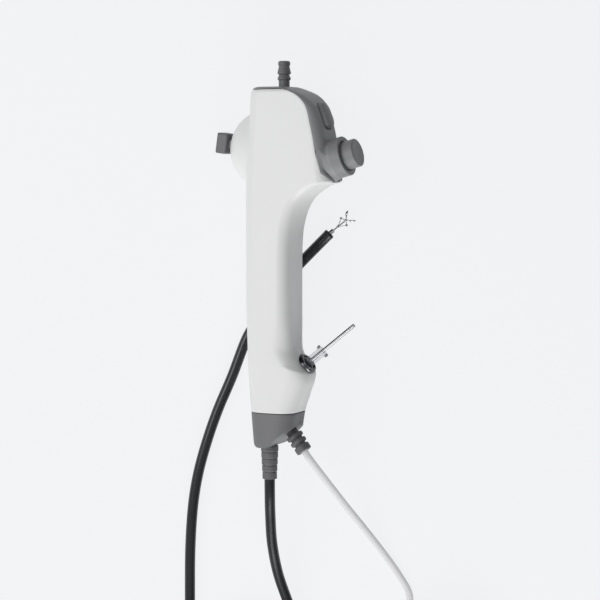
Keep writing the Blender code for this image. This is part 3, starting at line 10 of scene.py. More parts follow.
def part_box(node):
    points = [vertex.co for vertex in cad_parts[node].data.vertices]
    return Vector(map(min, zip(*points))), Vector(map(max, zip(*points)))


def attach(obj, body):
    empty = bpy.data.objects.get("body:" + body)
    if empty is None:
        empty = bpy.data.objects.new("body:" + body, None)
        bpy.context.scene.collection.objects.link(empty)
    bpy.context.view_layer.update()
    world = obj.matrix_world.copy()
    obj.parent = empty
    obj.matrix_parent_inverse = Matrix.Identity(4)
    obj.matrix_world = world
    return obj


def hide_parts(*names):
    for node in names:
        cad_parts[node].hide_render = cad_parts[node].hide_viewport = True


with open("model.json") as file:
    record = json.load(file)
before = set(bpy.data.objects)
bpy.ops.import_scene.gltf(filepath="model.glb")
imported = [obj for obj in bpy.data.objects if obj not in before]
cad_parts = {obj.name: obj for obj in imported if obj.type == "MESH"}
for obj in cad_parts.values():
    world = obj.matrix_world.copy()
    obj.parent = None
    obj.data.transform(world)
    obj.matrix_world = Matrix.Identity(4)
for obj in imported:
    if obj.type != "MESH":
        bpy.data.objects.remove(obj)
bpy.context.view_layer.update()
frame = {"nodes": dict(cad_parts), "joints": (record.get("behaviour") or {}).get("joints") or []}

mm = 0.001

# The handle's own frame, read from its joints: front, head and near directions from the lever's axle
joints = {joint["name"]: joint for joint in frame["joints"]}
axlePoint = np.array(joints["lever_turn"]["pos_m"])
nearWay = np.array(joints["lever_turn"]["axis"])
headWay = np.array(joints["front_wire_slide"]["axis"])
frontWay = np.cross(headWay, nearWay)
handleAxes = np.stack([frontWay, headWay, nearWay])
tableOrigin = np.array([axlePoint[0], axlePoint[1], 0.0])


def onHandle(points):
    # handle millimetres to world metres: the axle plus each coordinate along its own direction
    return axlePoint + np.asarray(points, float) @ handleAxes * mm


def onTable(points):
    # table millimetres to world metres: a shift to below the lever's axle
    return tableOrigin + np.asarray(points, float) * mm


def handleDirection(angle):
    # unit vector in the handle's mid-plane, at an angle up from the front
    turn = math.radians(angle)
    return np.array([math.cos(turn), math.sin(turn), 0.0])


# Mesh makers

def gridFaces(rows, columns, closeRows=False, closeColumns=True):
    # index of each quad's corners on a rows by columns grid, wrapping round where it is closed
    i = np.arange(rows if closeRows else rows - 1)[:, None]
    j = np.arange(columns if closeColumns else columns - 1)[None, :]
    below, right = (i + 1) % rows, (j + 1) % columns
    quads = np.stack(np.broadcast_arrays(i * columns + j, i * columns + right,
                                         below * columns + right, below * columns + j), -1)
    return quads.reshape(-1, 4)


def steppedSpan(*spans):
    # places of each (start, end, count) span one after another, without doubles where two spans meet
    return np.concatenate([np.linspace(*span)[:-1] for span in spans] + [[spans[-1][1]]])


def tidyShading(mesh, sharp=35.0):
    # smooth faces, with a sharp edge wherever two meet at more than the angle
    mesh.shade_smooth()
    mesh.set_sharp_from_angle(angle=math.radians(sharp))


def meshFrom(points, faces, sharp=35.0):
    # doubled points are welded, and every face is turned outward
    mesh = bpy.data.meshes.new("mesh")
    points = np.asarray(points, float).reshape(-1, 3).tolist()
    mesh.from_pydata(points, [], [list(map(int, face)) for face in faces])
    work = bmesh.new()
    work.from_mesh(mesh)
    bmesh.ops.remove_doubles(work, verts=work.verts, dist=1e-8)
    bmesh.ops.recalc_face_normals(work, faces=work.faces)
    work.to_mesh(mesh)
    work.free()
    tidyShading(mesh, sharp)
    return mesh


def newObject(name, data):
    made = bpy.data.objects.new(name, data)
    bpy.context.scene.collection.objects.link(made)
    return made


finishes = {}


def newPiece(name, mesh, body=None, finish=None, replaced=()):
    # an object with its finish, the body it rides on and the solids it stands for
    mesh.name = name
    piece = newObject(name, mesh)
    if finish:
        mesh.materials.append(finishes[finish])
    if body:
        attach(piece, body)
    if replaced:
        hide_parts(*replaced)
    return piece


def cappedFaces(grid):
    # faces of rings one after another, with a flat face on the first and the last ring
    rows, columns = grid.shape[:2]
    ends = [list(range(columns)), list(range((rows - 1) * columns, rows * columns))]
    return gridFaces(rows, columns).tolist() + ends


def closedGrid(grid):
    return meshFrom(grid, cappedFaces(grid))


def cutter(mesh):
    return newPiece("cutter", mesh)


def softProfile(points, rounding, steps=4):
    # each inner corner becomes a quadratic curve that starts and ends at the rounding's distance
    p = np.array(points, float)
    before, corner, after = p[:-2], p[1:-1], p[2:]
    toBefore, toAfter = before - corner, after - corner
    lengthBefore = np.linalg.norm(toBefore, axis=1)[:, None]
    lengthAfter = np.linalg.norm(toAfter, axis=1)[:, None]
    cutBefore = np.minimum(rounding, 0.45 * lengthBefore)
    cutAfter = np.minimum(rounding, 0.45 * lengthAfter)
    start = corner + toBefore / np.maximum(lengthBefore, 1e-9) * cutBefore
    end = corner + toAfter / np.maximum(lengthAfter, 1e-9) * cutAfter
    t = np.linspace(0.0, 1.0, steps + 1)[None, :, None]
    curve = (1 - t) ** 2 * start[:, None] + 2 * t * (1 - t) * corner[:, None] + t**2 * end[:, None]
    return np.vstack([p[:1], curve.reshape(-1, 2), p[-1:]])


def perpendiculars(axis):
    # two directions square to the axis and to each other, and the axis at unit length
    axis = np.asarray(axis, float) / np.linalg.norm(axis)
    helper = np.array([0.0, 0.0, 1.0]) if abs(axis[2]) < 0.9 else np.array([1.0, 0.0, 0.0])
    first = np.cross(helper, axis)
    first /= np.linalg.norm(first)
    return first, np.cross(axis, first), axis


def barProfile(radius, low, high):
    # half the outline of a plain round bar, as (radius, height)
    return [(0.0, low), (radius, low), (radius, high), (0.0, high)]


def turnedMesh(profile, centre, axis, sides=72, sharp=35.0, closed=True):
    # (radius, height) points in mm revolved round an axis, all as one array
    profile = np.asarray(profile, float) * mm
    first, second, axis = perpendiculars(axis)
    turn = np.linspace(0.0, math.tau, sides, endpoint=False)[:, None]
    around = np.cos(turn) * first + np.sin(turn) * second
    grid = profile[:, None, :1] * around + profile[:, None, 1:] * axis
    faces = gridFaces(len(profile), sides, closeRows=closed)
    return meshFrom(np.asarray(centre, float) + grid, faces, sharp)


def evenPath(points, spacing):
    # one smooth curve through the points, cut to even steps
    route = np.array(points, float)
    ends = np.vstack([2 * route[0] - route[1], route, 2 * route[-1] - route[-2]])
    t = np.linspace(0.0, 1.0, 24, endpoint=False)[None, :, None]
    before, start, end, after = (ends[k:len(ends) - 3 + k][:, None] for k in range(4))
    curve = 0.5 * (2 * start + (end - before) * t + (2 * before - 5 * start + 4 * end - after) * t**2
                   + (3 * start - before - 3 * end + after) * t**3)
    dense = np.vstack([curve.reshape(-1, 3), route[-1:]])
    run = np.concatenate([[0.0], np.cumsum(np.linalg.norm(np.diff(dense, axis=0), axis=1))])
    even = np.linspace(0.0, run[-1], max(3, int(round(run[-1] / spacing)) + 1))
    return np.stack([np.interp(even, run, dense[:, k]) for k in range(3)], axis=1)


def pathLength(path):
    return float(np.linalg.norm(np.diff(path, axis=0), axis=1).sum())


def tubeMesh(path, radius, sides, capSteps=3, rim=0.12):
    # a circle carried along the path, with ends that round off over a share of the radius
    tangent = np.gradient(path, axis=0)
    tangent /= np.linalg.norm(tangent, axis=1)[:, None]
    bend = np.linspace(0.0, math.pi / 2, capSteps + 1)[:-1]
    shrink = 1 - rim * (1 - np.sin(bend))
    reach = rim * radius * np.cos(bend)[:, None]
    scale = np.concatenate([shrink, np.ones(len(path)), shrink[::-1]])
    centre = np.concatenate([path[0] - tangent[0] * reach, path, path[-1] + tangent[-1] * reach[::-1]])
    tangent = np.pad(tangent, ((capSteps, capSteps), (0, 0)), "edge")
    side = np.cross(tangent, np.array([0.0, 0.0, 1.0]))
    side /= np.linalg.norm(side, axis=1)[:, None]
    turn = np.linspace(0.0, math.tau, sides, endpoint=False)[:, None]
    ring = np.cos(turn) * side[:, None] + np.sin(turn) * np.cross(side, tangent)[:, None]
    return closedGrid(centre[:, None] + ring * (radius * scale)[:, None, None])


# Finishes

def addNodes(tree, wanted, joins):
    # new nodes by name, each as (kind, settings, inputs) of which the last two may be missing, and
    # links as (from, output, to, input)
    nodes = {node.name: node for node in tree.nodes}
    for name, entry in wanted.items():
        kind, settings, inputs = (*entry, {}, {})[:3]
        nodes[name] = node = tree.nodes.new(kind if kind.startswith("NodeGroup") else "ShaderNode" + kind)
        for key, value in settings.items():
            setattr(node, key, value)
        for key, value in inputs.items():
            node.inputs[key].default_value = value
    for start, output, end, entry in joins:
        tree.links.new(nodes[start].outputs[output], nodes[end].inputs[entry])
    return nodes


def newFinish(name, wanted, joins, values):
    # a material with these nodes and links, and values for the inputs of its own shader
    made = finishes[name] = bpy.data.materials.new(name)
    made.use_nodes = True
    nodes = addNodes(made.node_tree, wanted, joins)
    for key, value in values.items():
        nodes["Principled BSDF"].inputs[key].default_value = value
    return made.node_tree.nodes


def mouldedGrain():
    # fine spark-eroded grain: two sizes of noise give a height, and a wide one drifts the colour
    group = bpy.data.node_groups.new("mouldedGrain", "ShaderNodeTree")
    sockets = {"INPUT": "Colour Drift Roughness Size Depth", "OUTPUT": "Colour Roughness Normal"}
    for side, labels in sockets.items():
        for label in labels.split():
            kind = {"Colour": "Color", "Normal": "Vector"}.get(label, "Float")
            group.interface.new_socket(name=label, in_out=side, socket_type="NodeSocket" + kind)
    addNodes(group, {
        "start": ("NodeGroupInput",),
        "end": ("NodeGroupOutput",),
        "place": ("TexCoord",),
        "wide": ("TexNoise", {}, {"Scale": 40.0, "Detail": 3.0}),
        "fine": ("TexNoise", {}, {"Detail": 2.0}),
        "centred": ("Math", {"operation": "SUBTRACT"}, {1: 0.5}),
        "drift": ("Math", {"operation": "MULTIPLY_ADD"}, {2: 1.0}),
        "tint": ("VectorMath", {"operation": "SCALE"}, {}),
        "rough": ("Math", {"operation": "MULTIPLY_ADD"}, {1: 0.12}),
        "bump": ("Bump", {}, {"Strength": 0.6}),
    }, [("place", "Object", "wide", "Vector"), ("place", "Object", "fine", "Vector"),
        ("start", "Size", "fine", "Scale"), ("wide", "Fac", "centred", 0), ("centred", 0, "drift", 0),
        ("start", "Drift", "drift", 1), ("start", "Colour", "tint", 0), ("drift", 0, "tint", "Scale"),
        ("tint", 0, "end", "Colour"), ("centred", 0, "rough", 0), ("start", "Roughness", "rough", 2),
        ("rough", 0, "end", "Roughness"), ("start", "Depth", "bump", "Distance"),
        ("fine", "Fac", "bump", "Height"), ("bump", "Normal", "end", "Normal")])
    return group


grainGroup = mouldedGrain()


def mouldedFinish(name, colour, roughness, drift, size, depth, values):
    # the shared grain with its own colour and sizes, in front of the shader
    inputs = {"Colour": (*colour, 1.0), "Drift": drift, "Roughness": roughness, "Size": size,
              "Depth": depth}
    newFinish(name, {"grain": ("Group", {"node_tree": grainGroup}, inputs)},
              [("grain", "Colour", "Principled BSDF", "Base Color"),
               ("grain", "Roughness", "Principled BSDF", "Roughness"),
               ("grain", "Normal", "Principled BSDF", "Normal")], values)


# colour, roughness, drift of the colour, how fine and how deep the grain is, and what else the shader gets
looks = {
    "whiteShell": ((0.78, 0.78, 0.765), 0.42, 0.015, 2600.0, 0.000012, {}),
    "greyCover": ((0.27, 0.27, 0.275), 0.5, 0.04, 2600.0, 0.00002, {}),
    "greyEndFinish": ((0.165, 0.165, 0.17), 0.5, 0.04, 2600.0, 0.00002, {}),
    "greyValve": ((0.225, 0.225, 0.23), 0.52, 0.04, 2600.0, 0.00002, {}),
    "darkLever": ((0.135, 0.135, 0.14), 0.5, 0.05, 2600.0, 0.00003, {}),
    "bootRubber": ((0.125, 0.125, 0.13), 0.62, 0.08, 1800.0, 0.00004, {}),
    "darkBootRubber": ((0.115, 0.112, 0.12), 0.6, 0.08, 1800.0, 0.00004, {}),
    "barbRubber": ((0.15, 0.15, 0.155), 0.5, 0.06, 2000.0, 0.00003, {}),
    "blackSheath": ((0.014, 0.015, 0.017), 0.27, 0.3, 1500.0, 0.00003, {}),
    # painted light: the pale jacket and the plug's shells glow a little, so their shaded side never gets
    # dark
    "paleCable": ((0.4, 0.4, 0.41), 0.65, 0.02, 1500.0, 0.000002, {
        "Specular IOR Level": 0.1, "Emission Color": (0.9, 0.9, 0.92, 1.0), "Emission Strength": 0.32}),
    # painted shade for the clear barrel's ears, which look dark through their thickness
    "lugShade": ((0.12, 0.12, 0.125), 0.3, 0.0, 1500.0, 0.000002, {}),
    "softSteel": ((0.55, 0.55, 0.57), 0.32, 0.1, 3000.0, 0.00001, {"Metallic": 1.0}),
    "greenBoard": ((0.02, 0.12, 0.06), 0.35, 0.2, 400.0, 0.00002, {}),
    "paleInside": ((0.6, 0.6, 0.6), 0.5, 0.05, 1500.0, 0.00003, {}),
    "hoseRubber": ((0.55, 0.56, 0.55), 0.4, 0.06, 1200.0, 0.00003, {}),
    "darkGlass": ((0.01, 0.01, 0.015), 0.05, 0.0, 500.0, 0.000001, {"Coat Weight": 0.5}),
}
for finish, look in looks.items():
    mouldedFinish(finish, *look)


def clearFinish(name, tint, edge):
    # see-through in the middle and shiny towards the outline, as a thin clear wall looks
    nodes = newFinish(name, {
        "through": ("BsdfTransparent", {}, {"Color": (*tint, 1.0)}),
        "shine": ("BsdfPrincipled", {}, {"Base Color": (0.55, 0.57, 0.6, 1.0), "Roughness": 0.12}),
        "facing": ("LayerWeight", {}, {"Blend": 0.35}),
        "share": ("MapRange", {}, {"To Min": 0.05, "To Max": edge}),
        "mix": ("MixShader",),
    }, [("facing", "Facing", "share", "Value"), ("share", 0, "mix", 0), ("through", 0, "mix", 1),
        ("shine", 0, "mix", 2), ("mix", 0, "Material Output", "Surface")], {})
    nodes.remove(nodes["Principled BSDF"])


def polishedFinish(name, middle, edge, roughness, card=(-0.5, 0.85, 0.1)):
    # polished steel with painted reflections of dark studio cards: its colour is painted darker towards its
    # outline and where it would mirror the card
    smooth = {"interpolation_type": "SMOOTHSTEP"}
    newFinish(name, {
        "facing": ("LayerWeight", {}, {"Blend": 0.5}),
        "outline": ("MapRange", smooth, {"From Min": 0.25, "From Max": 0.85}),
        "mirror": ("TexCoord",),
        # painted reflection: the mirror direction against a dark card that is not in the scene, put into
        # the base colour
        "towards": ("VectorMath", {"operation": "DOT_PRODUCT"}, {1: Vector(card).normalized()}),
        "paintedCardReflection": ("MapRange", smooth, {"From Min": 0.45, "From Max": 0.7}),
        "both": ("Math", {"operation": "MAXIMUM"}, {}),
        "tone": ("Mix", {"data_type": "RGBA"}, {"A": (middle, middle, middle * 1.02, 1.0),
                                                "B": (edge, edge, edge * 1.02, 1.0)}),
    }, [("facing", "Facing", "outline", "Value"), ("mirror", "Reflection", "towards", 0),
        ("towards", "Value", "paintedCardReflection", "Value"), ("outline", 0, "both", 0), ("paintedCardReflection", 0, "both", 1),
        ("both", 0, "tone", "Factor"), ("tone", "Result", "Principled BSDF", "Base Color")],
        {"Metallic": 1.0, "Roughness": roughness})


clearFinish("clearBarrel", (0.97, 0.975, 0.98), 0.6)
for finish, middle, edge, roughness in (("brightSteel", 0.6, 0.05, 0.22), ("shaftSteel", 0.42, 0.02, 0.36),
                                        ("darkSteel", 0.16, 0.02, 0.3)):
    polishedFinish(finish, middle, edge, roughness)

rings = " ".join(f"bend_ring_{n}" for n in range(1, 8))
for finish, names in {
    "paleInside": "wire_drum axle_bush_near axle_bush_far wire_stop_block valve_cylinder channel_branch",
    "softSteel": "lever_axle pull_wire_front pull_wire_rear coil_pipe_front coil_pipe_rear valve_spring "
                 "tact_switch insertion_gland " + rings,
    "greenBoard": "switch_board plug_contacts", "hoseRubber": "suction_hose channel_hose",
    "brightSteel": "forceps_clevis jaw_pin jaw_left jaw_right link_left link_right drive_rod",
    "whiteShell": "housing_near_shell housing_far_shell", "greyCover": "top_cover",
    "greyEndFinish": "end_cap", "darkLever": "control_lever", "darkSteel": "port_flange",
    "greyValve": "valve_collar suction_button remote_button", "barbRubber": "suction_barb",
    "clearBarrel": "luer_port led_window", "bootRubber": "insertion_boot port_seal",
    "darkBootRubber": "cable_boot plug_boot", "shaftSteel": "forceps_shaft", "blackSheath": "distal_tip",
    "darkGlass": "camera_lens", "paleCable": "plug_shell_upper plug_shell_lower",
}.items():
    for node in names.split():
        materials = frame["nodes"][node].data.materials
        materials.clear()
        materials.append(finishes[finish])
print("finishes made")


# Camera and light

view = {"place": (0.006145, 0.108023, 1.115776), "tilt": -0.112961, "lens": 118.20}
cameraData = bpy.data.cameras.new("camera")
cameraData.lens = view["lens"]
cameraData.sensor_width = 36.0
cameraData.clip_end = 20.0
camera = newObject("camera", cameraData)
camera.location = view["place"]
camera.rotation_euler = (view["tilt"], 0.0, 0.0)
bpy.context.scene.camera = camera

# the room is brighter towards the lower left, so metal and rounded edges show a darker side
light = {"key": {"place": (-0.6, 0.15, 0.65), "power": 3.1, "size": 0.5},
         "fill": {"place": (0.0, -0.85, 0.38), "power": 5.3, "size": 0.6}, "aim": (0, 0, 0.02),
         "skyColour": (0.95, 0.965, 1.0, 1.0), "skyLow": 0.1, "skyHigh": 0.47,
         "skyTowards": (-0.7, -0.55, 0.45)}

for name in ("key", "fill"):
    lamp = bpy.data.lights.new(name + "Light", "AREA")
    lamp.energy = light[name]["power"]
    lamp.size = light[name]["size"]
    lamp = newObject(name + "Light", lamp)
    lamp.location = light[name]["place"]
    towards = Vector(light["aim"]) - Vector(light[name]["place"])
    lamp.rotation_euler = towards.to_track_quat("-Z", "Y").to_euler()

world = bpy.context.scene.world or bpy.data.worlds.new("studio")
bpy.context.scene.world = world
world.use_nodes = True
world.node_tree.nodes["Background"].inputs["Color"].default_value = light["skyColour"]
addNodes(world.node_tree, {
    "place": ("TexCoord",),
    "towards": ("VectorMath", {"operation": "DOT_PRODUCT"}, {1: Vector(light["skyTowards"]).normalized()}),
    "range": ("MapRange", {"interpolation_type": "SMOOTHSTEP"}, {
        "From Min": -0.8, "From Max": 0.8, "To Min": light["skyLow"], "To Max": light["skyHigh"]}),
}, [("place", "Generated", "towards", 0), ("towards", "Value", "range", "Value"),
    ("range", 0, "Background", "Strength")])
bpy.context.scene.view_settings.view_transform = "Standard"

floorLook = {"colour": (0.896, 0.905, 0.922), "glow": 0.93, "depth": 0.0002, "half": 4.0}


def paleFloor():
    # a wide floor that gives off most of its tone itself where the camera or a mirror sees it
    colour = (*floorLook["colour"], 1)
    newFinish("paleFloor", {
        "glow": ("Emission", {}, {"Color": colour}),
        "mix": ("MixShader",),
        "rays": ("LightPath",),
        "share": ("Math", {"operation": "MULTIPLY"}, {1: floorLook["glow"]}),
        "seen": ("Math", {"operation": "MAXIMUM"}, {}),
    }, [("rays", "Is Camera Ray", "seen", 0), ("rays", "Is Glossy Ray", "seen", 1), ("seen", 0, "share", 0),
        ("share", 0, "mix", 0), ("Principled BSDF", 0, "mix", 1), ("glow", 0, "mix", 2),
        ("mix", 0, "Material Output", "Surface")], {"Base Color": colour, "Roughness": 0.9})
    half, low = floorLook["half"], -floorLook["depth"]
    corners = [(x, y, low) for x, y in ((-half, -half), (half, -half), (half, half), (-half, half))]
    newPiece("floor", meshFrom(corners, [(0, 1, 2, 3)]), finish="paleFloor")


paleFloor()
print("camera, light and floor placed")


# Housing of the handle

housingSpec = {
    # outlines in the mid-plane as (height, distance in front of the lever's axle)
    "frontLine": [(35.2, 12.8), (34.6, 15.6), (33.0, 20.2), (30.1, 27.0), (27.0, 31.1), (23.0, 34.5),
                  (14.0, 37.9), (0.0, 40.7), (-10.0, 42.1), (-17.2, 43.2), (-18.2, 42.0), (-19.1, 38.4),
                  (-20.7, 34.9), (-22.6, 31.7), (-26.8, 26.7), (-31.8, 23.4), (-38.0, 21.1),
                  (-46.0, 19.4), (-60.0, 18.7), (-88.0, 18.8), (-101.7, 19.2), (-109.5, 20.3),
                  (-116.0, 23.1), (-121.0, 26.3), (-124.4, 28.2), (-126.2, 28.1), (-137.0, 24.7),
                  (-146.0, 21.4), (-156.0, 19.9), (-172.0, 19.4)],
    "rearLine": [(35.2, -0.6), (34.6, -2.6), (33.0, -4.4), (29.0, -5.2), (10.0, -6.2), (-10.0, -7.5),
                 (-30.0, -8.3), (-70.0, -8.3), (-110.0, -7.5), (-146.0, -5.2), (-172.0, -3.0)],
    # rounding of the front edges along the height: tight on the grip, wide at the shoulder
    "frontRounding": [(35.2, 3.6), (31.0, 3.8), (27.5, 4.4), (22.5, 5.7), (13.5, 7.1), (-4.0, 7.1),
                      (-60.0, 7.0), (-95.0, 7.4), (-106.0, 9.6), (-115.0, 13.2), (-121.0, 13.2),
                      (-124.5, 10.0), (-137.0, 9.5), (-146.2, 9.0), (-172.0, 9.0)],
    "rearRounding": 7.0, "halfWidth": 13.5, "top": 34.5, "topRounding": 3.2, "crown": 0.25,
    "wall": 2.0, "lip": 0.35, "gap": 0.3, "split": -146.2, "capBottom": -165.6, "slant": 40.4,
    "slantStart": 5.8, "creaseLift": 3.0, "endRounding": 5.0,
    "domeRadius": 21.5, "domeHalfWidth": 11.0, "domeBlend": 5.0,
    # border between the white sides and the grey cover, as (x, height)
    "coverEdge": [(-16.0, 32.4), (-2.0, 32.9), (10.0, 33.3), (16.5, 33.1), (22.5, 31.0), (27.6, 27.5),
                  (31.0, 22.5), (33.4, 13.5), (36.4, -1.3), (38.9, -12.0), (41.0, -16.9), (43.2, -18.3),
                  (52.0, -18.4)],
}
valve = {"base": (43.2, -5.0), "lean": 15.5, "seatRadius": 11.0, "flare": 5.0, "cylinder": 6.7,
         "rim": 13.0, "rimGrowth": 0.9, "groove": 0.7, "grooveRadius": 11.75, "grooveWidth": 0.42}
barb = {"x": 11.37, "hole": 3.35, "bore": 2.0, "innerBore": 1.2, "flange": 5.0}
boots = {"tubeX": 2.2, "cable": (17.1, -158.9), "cableAngle": -53.1}


def lineAt(points, heights):
    # cubic through (height, value) points whose slopes are limited, so it never overshoots
    table = np.array(sorted(points), float)
    x, y = table[:, 0], table[:, 1]
    step = np.diff(x)
    slope = np.diff(y) / step
    tangent = np.zeros_like(y)
    same = slope[:-1] * slope[1:] > 0
    w1, w2 = 2 * step[1:] + step[:-1], step[1:] + 2 * step[:-1]
    inner = np.zeros_like(slope[:-1])
    inner[same] = (w1 + w2)[same] / (w1[same] / slope[:-1][same] + w2[same] / slope[1:][same])
    tangent[1:-1] = inner
    tangent[0], tangent[-1] = slope[0], slope[-1]
    heights = np.clip(heights, x[0], x[-1])
    k = np.clip(np.searchsorted(x, heights, side="right") - 1, 0, len(step) - 1)
    t = (heights - x[k]) / step[k]
    return ((2 * t**3 - 3 * t**2 + 1) * y[k] + (t**3 - 2 * t**2 + t) * step[k] * tangent[k]
            + (-2 * t**3 + 3 * t**2) * y[k + 1] + (t**3 - t**2) * step[k] * tangent[k + 1])


def easing(value):
    # from 0 to 1 with a soft start and a soft end
    value = np.clip(value, 0.0, 1.0)
    return value * value * (3 - 2 * value)


def softMin(a, b, width):
    # the smaller of two values, with a round transition of the given width
    near = np.maximum(width - np.abs(a - b), 0.0) / width
    return np.minimum(a, b) - near * near * width / 4


def housingPoint(u, height, inset=0.0):
    # half a section, u from 0 to 5: rear flat, rear corner arc, side, front corner arc, front flat.
    # The crease of the shoulder climbs towards the side, and a flattened ball joins the rear softly.
    spec = housingSpec
    u, height = np.broadcast_arrays(np.asarray(u, float), np.asarray(height, float))
    climb = 1 - easing((u - 3.0) / 1.1)
    zone = easing((height + 156.0) / 22.0) * (1 - easing((height + 112.0) / 24.0))
    level = height - spec["creaseLift"] * climb * zone
    front = lineAt(spec["frontLine"], level) - inset
    rear = lineAt(spec["rearLine"], height) + inset
    top = spec["top"] - inset
    below = np.clip((height - (top - spec["topRounding"])) / spec["topRounding"], 0.0, 1.0)
    half = spec["halfWidth"] - inset - spec["topRounding"] * (1 - np.sqrt(1 - below**2))
    room = (front - rear) / 2 - 0.05
    rearArc = np.minimum(spec["rearRounding"] - inset, np.minimum(room, half - 0.05))
    frontArc = np.minimum(lineAt(spec["frontRounding"], level) - inset, half - 0.05)
    frontArc = np.minimum(frontArc, 2 * room - rearArc)
    a = np.clip(u - 1, 0, 1) * math.pi / 2
    b = np.clip(u - 3, 0, 1) * math.pi / 2
    along = np.clip(u - 2, 0, 1)
    crown = spec["crown"] * (1 - (2 * along - 1) ** 2) * easing((top - 4 - height) / 12)
    parts = [u < 1, u < 2, u < 3, u < 4]
    x = np.select(parts, [rear, rear + rearArc * (1 - np.cos(a)),
                          rear + rearArc + (front - frontArc - rear - rearArc) * along,
                          front - frontArc * (1 - np.sin(b))], front)
    z = np.select(parts, [u * (half - rearArc), half - rearArc * (1 - np.sin(a)), half + crown,
                          half - frontArc * (1 - np.cos(b))], (5 - u) * (half - frontArc))
    ball = 1 - (height / (spec["domeRadius"] - inset)) ** 2 - (z / (spec["domeHalfWidth"] - inset)) ** 2
    dome = np.where(ball > 0, -(spec["domeRadius"] - inset) * np.sqrt(np.maximum(ball, 0.0)), 99.0)
    x = np.where(u < 2.5, softMin(x, dome, spec["domeBlend"]), x)
    return np.stack([x, height, z], -1)


def edgeHeights(u):
    # height at which each place round the section meets the border line, or the round rim that
    # ends the cover below the valve, by halving
    line = evenPath([(x, y, 0.0) for x, y in housingSpec["coverEdge"]], 0.5)
    low = np.full(np.shape(u), -18.0)
    high = np.full(np.shape(u), 34.6)
    for _ in range(36):
        middle = (low + high) / 2
        point = housingPoint(u, middle)
        above = middle > np.interp(point[..., 0], line[:, 0], line[:, 1])
        away = point - np.array([*valve["base"], 0.0])
        outward = away @ handleDirection(valve["lean"])
        around = np.sqrt((away**2).sum(-1) - outward**2)
        rim = valve["rim"] + valve["rimGrowth"] * np.minimum(point[..., 2] / 12, 1) ** 2
        above &= (middle > valve["base"][1]) | (around < rim)
        high = np.where(above, middle, high)
        low = np.where(above, low, middle)
    return (low + high) / 2


def sectionPlaces():
    # places round half a section, closest together where the dome's wall is steep
    return steppedSpan((0, 1, 14), (1, 1.14, 4), (1.14, 1.56, 19), (1.56, 2, 8), (2, 3, 24), (3, 4, 22),
                       (4, 5, 10))


def ringSkin(outer, inner, lip):
    # closed wall between two grids that both close round their columns: rows from the rim to the top
    up = outer[1] - outer[0]
    outward = -up / np.linalg.norm(up, axis=-1, keepdims=True)
    across = np.roll(outer[0], -1, 0) - np.roll(outer[0], 1, 0)
    normal = np.cross(across, up)
    normal /= np.linalg.norm(normal, axis=-1, keepdims=True)
    middle = outer[0].mean(0)
    normal *= np.sign(((outer[0] - middle) * normal).sum(-1).mean())
    turn = np.linspace(0, math.pi / 2, 5)[1:, None, None]
    rim = outer[0] + outward * lip * np.sin(turn) - normal * lip * (1 - np.cos(turn))
    return np.concatenate([inner[::-1], inner[:1] + outward[None] * lip, rim[::-1], outer])


def patchSkin(outer, inner, lip):
    # closed wall between two open grids, its four edges rounded by the lip
    down, side = np.gradient(outer, axis=(0, 1))
    normal = np.cross(down, side)
    normal /= np.linalg.norm(normal, axis=-1, keepdims=True)
    normal *= np.sign(((outer - inner) * normal).sum(-1).mean())
    down /= np.linalg.norm(down, axis=-1, keepdims=True)
    side /= np.linalg.norm(side, axis=-1, keepdims=True)
    rows, columns = outer.shape[:2]
    out = np.zeros_like(outer)
    out[0] -= down[0]
    out[-1] += down[-1]
    out[:, 0] -= side[:, 0]
    out[:, -1] += side[:, -1]
    loop = np.concatenate([np.arange(columns), np.arange(1, rows) * columns + columns - 1,
                           (rows - 1) * columns + np.arange(columns - 2, -1, -1),
                           np.arange(rows - 2, 0, -1) * columns])
    flat = [grid.reshape(-1, 3) for grid in (outer, inner, out, normal)]
    edge, under, away, normals = (grid[loop] for grid in flat)
    away /= np.linalg.norm(away, axis=-1, keepdims=True)
    # the long edges along the split stay nearly sharp, so no seam shows between the halves
    lips = np.where(np.isin(loop // columns, (0, rows - 1)), lip, 0.04)[:, None]
    turn = np.linspace(0, math.pi / 2, 5)[1:, None, None]
    rings = edge + away * lips * np.sin(turn) - normals * lips * (1 - np.cos(turn))
    rings = np.concatenate([rings, (under + away * lips)[None]])
    points = np.concatenate([flat[0], flat[1], rings.reshape(-1, 3)])
    count, length = rows * columns, len(loop)
    quads = gridFaces(rows, columns, closeColumns=False)
    starts = [2 * count + k * length + np.arange(length) for k in range(len(rings))]
    starts = [loop] + starts + [count + loop]
    bands = [np.stack([a, np.roll(a, -1), np.roll(b, -1), b], -1) for a, b in zip(starts, starts[1:])]
    return points, np.concatenate([quads, count + quads[:, ::-1]] + bands)


def carve(piece, others, operation="DIFFERENCE"):
    # the Boolean steps become part of the mesh, and what cuts is removed
    for other in others:
        step = piece.modifiers.new("carve", "BOOLEAN")
        step.operation = operation
        step.solver = "MANIFOLD"
        step.object = other
    bpy.context.view_layer.update()
    carved = piece.evaluated_get(bpy.context.evaluated_depsgraph_get())
    mesh = bpy.data.meshes.new_from_object(carved)
    piece.modifiers.clear()
    finish = piece.data.materials[0] if piece.data.materials else None
    piece.data = mesh
    mesh.materials.clear()
    if finish:
        mesh.materials.append(finish)
    for other in others:
        bpy.data.objects.remove(other, do_unlink=True)
    tidyShading(mesh)


def prism(outline, low, high):
    # an outline in the handle's mid-plane, reaching from low to high along the near direction
    grid = np.array([[(x, y, z) for x, y in outline] for z in (low, high)])
    return cutter(closedGrid(onHandle(grid)))


def turnedCutter(profile, point, angle, sides=48):
    # a turned shape along a direction of the mid-plane that starts at the point
    return cutter(turnedMesh(profile, onHandle((*point, 0.0)), handleDirection(angle) @ handleAxes, sides))


def roundBar(point, angle, radius, low, high, sides=48):
    return turnedCutter(barProfile(radius, low, high), point, angle, sides)


def alongHandle(point, angle, distance):
    # a place at a distance from a point of the mid-plane
    return np.array([*point, 0.0]) + handleDirection(angle) * distance


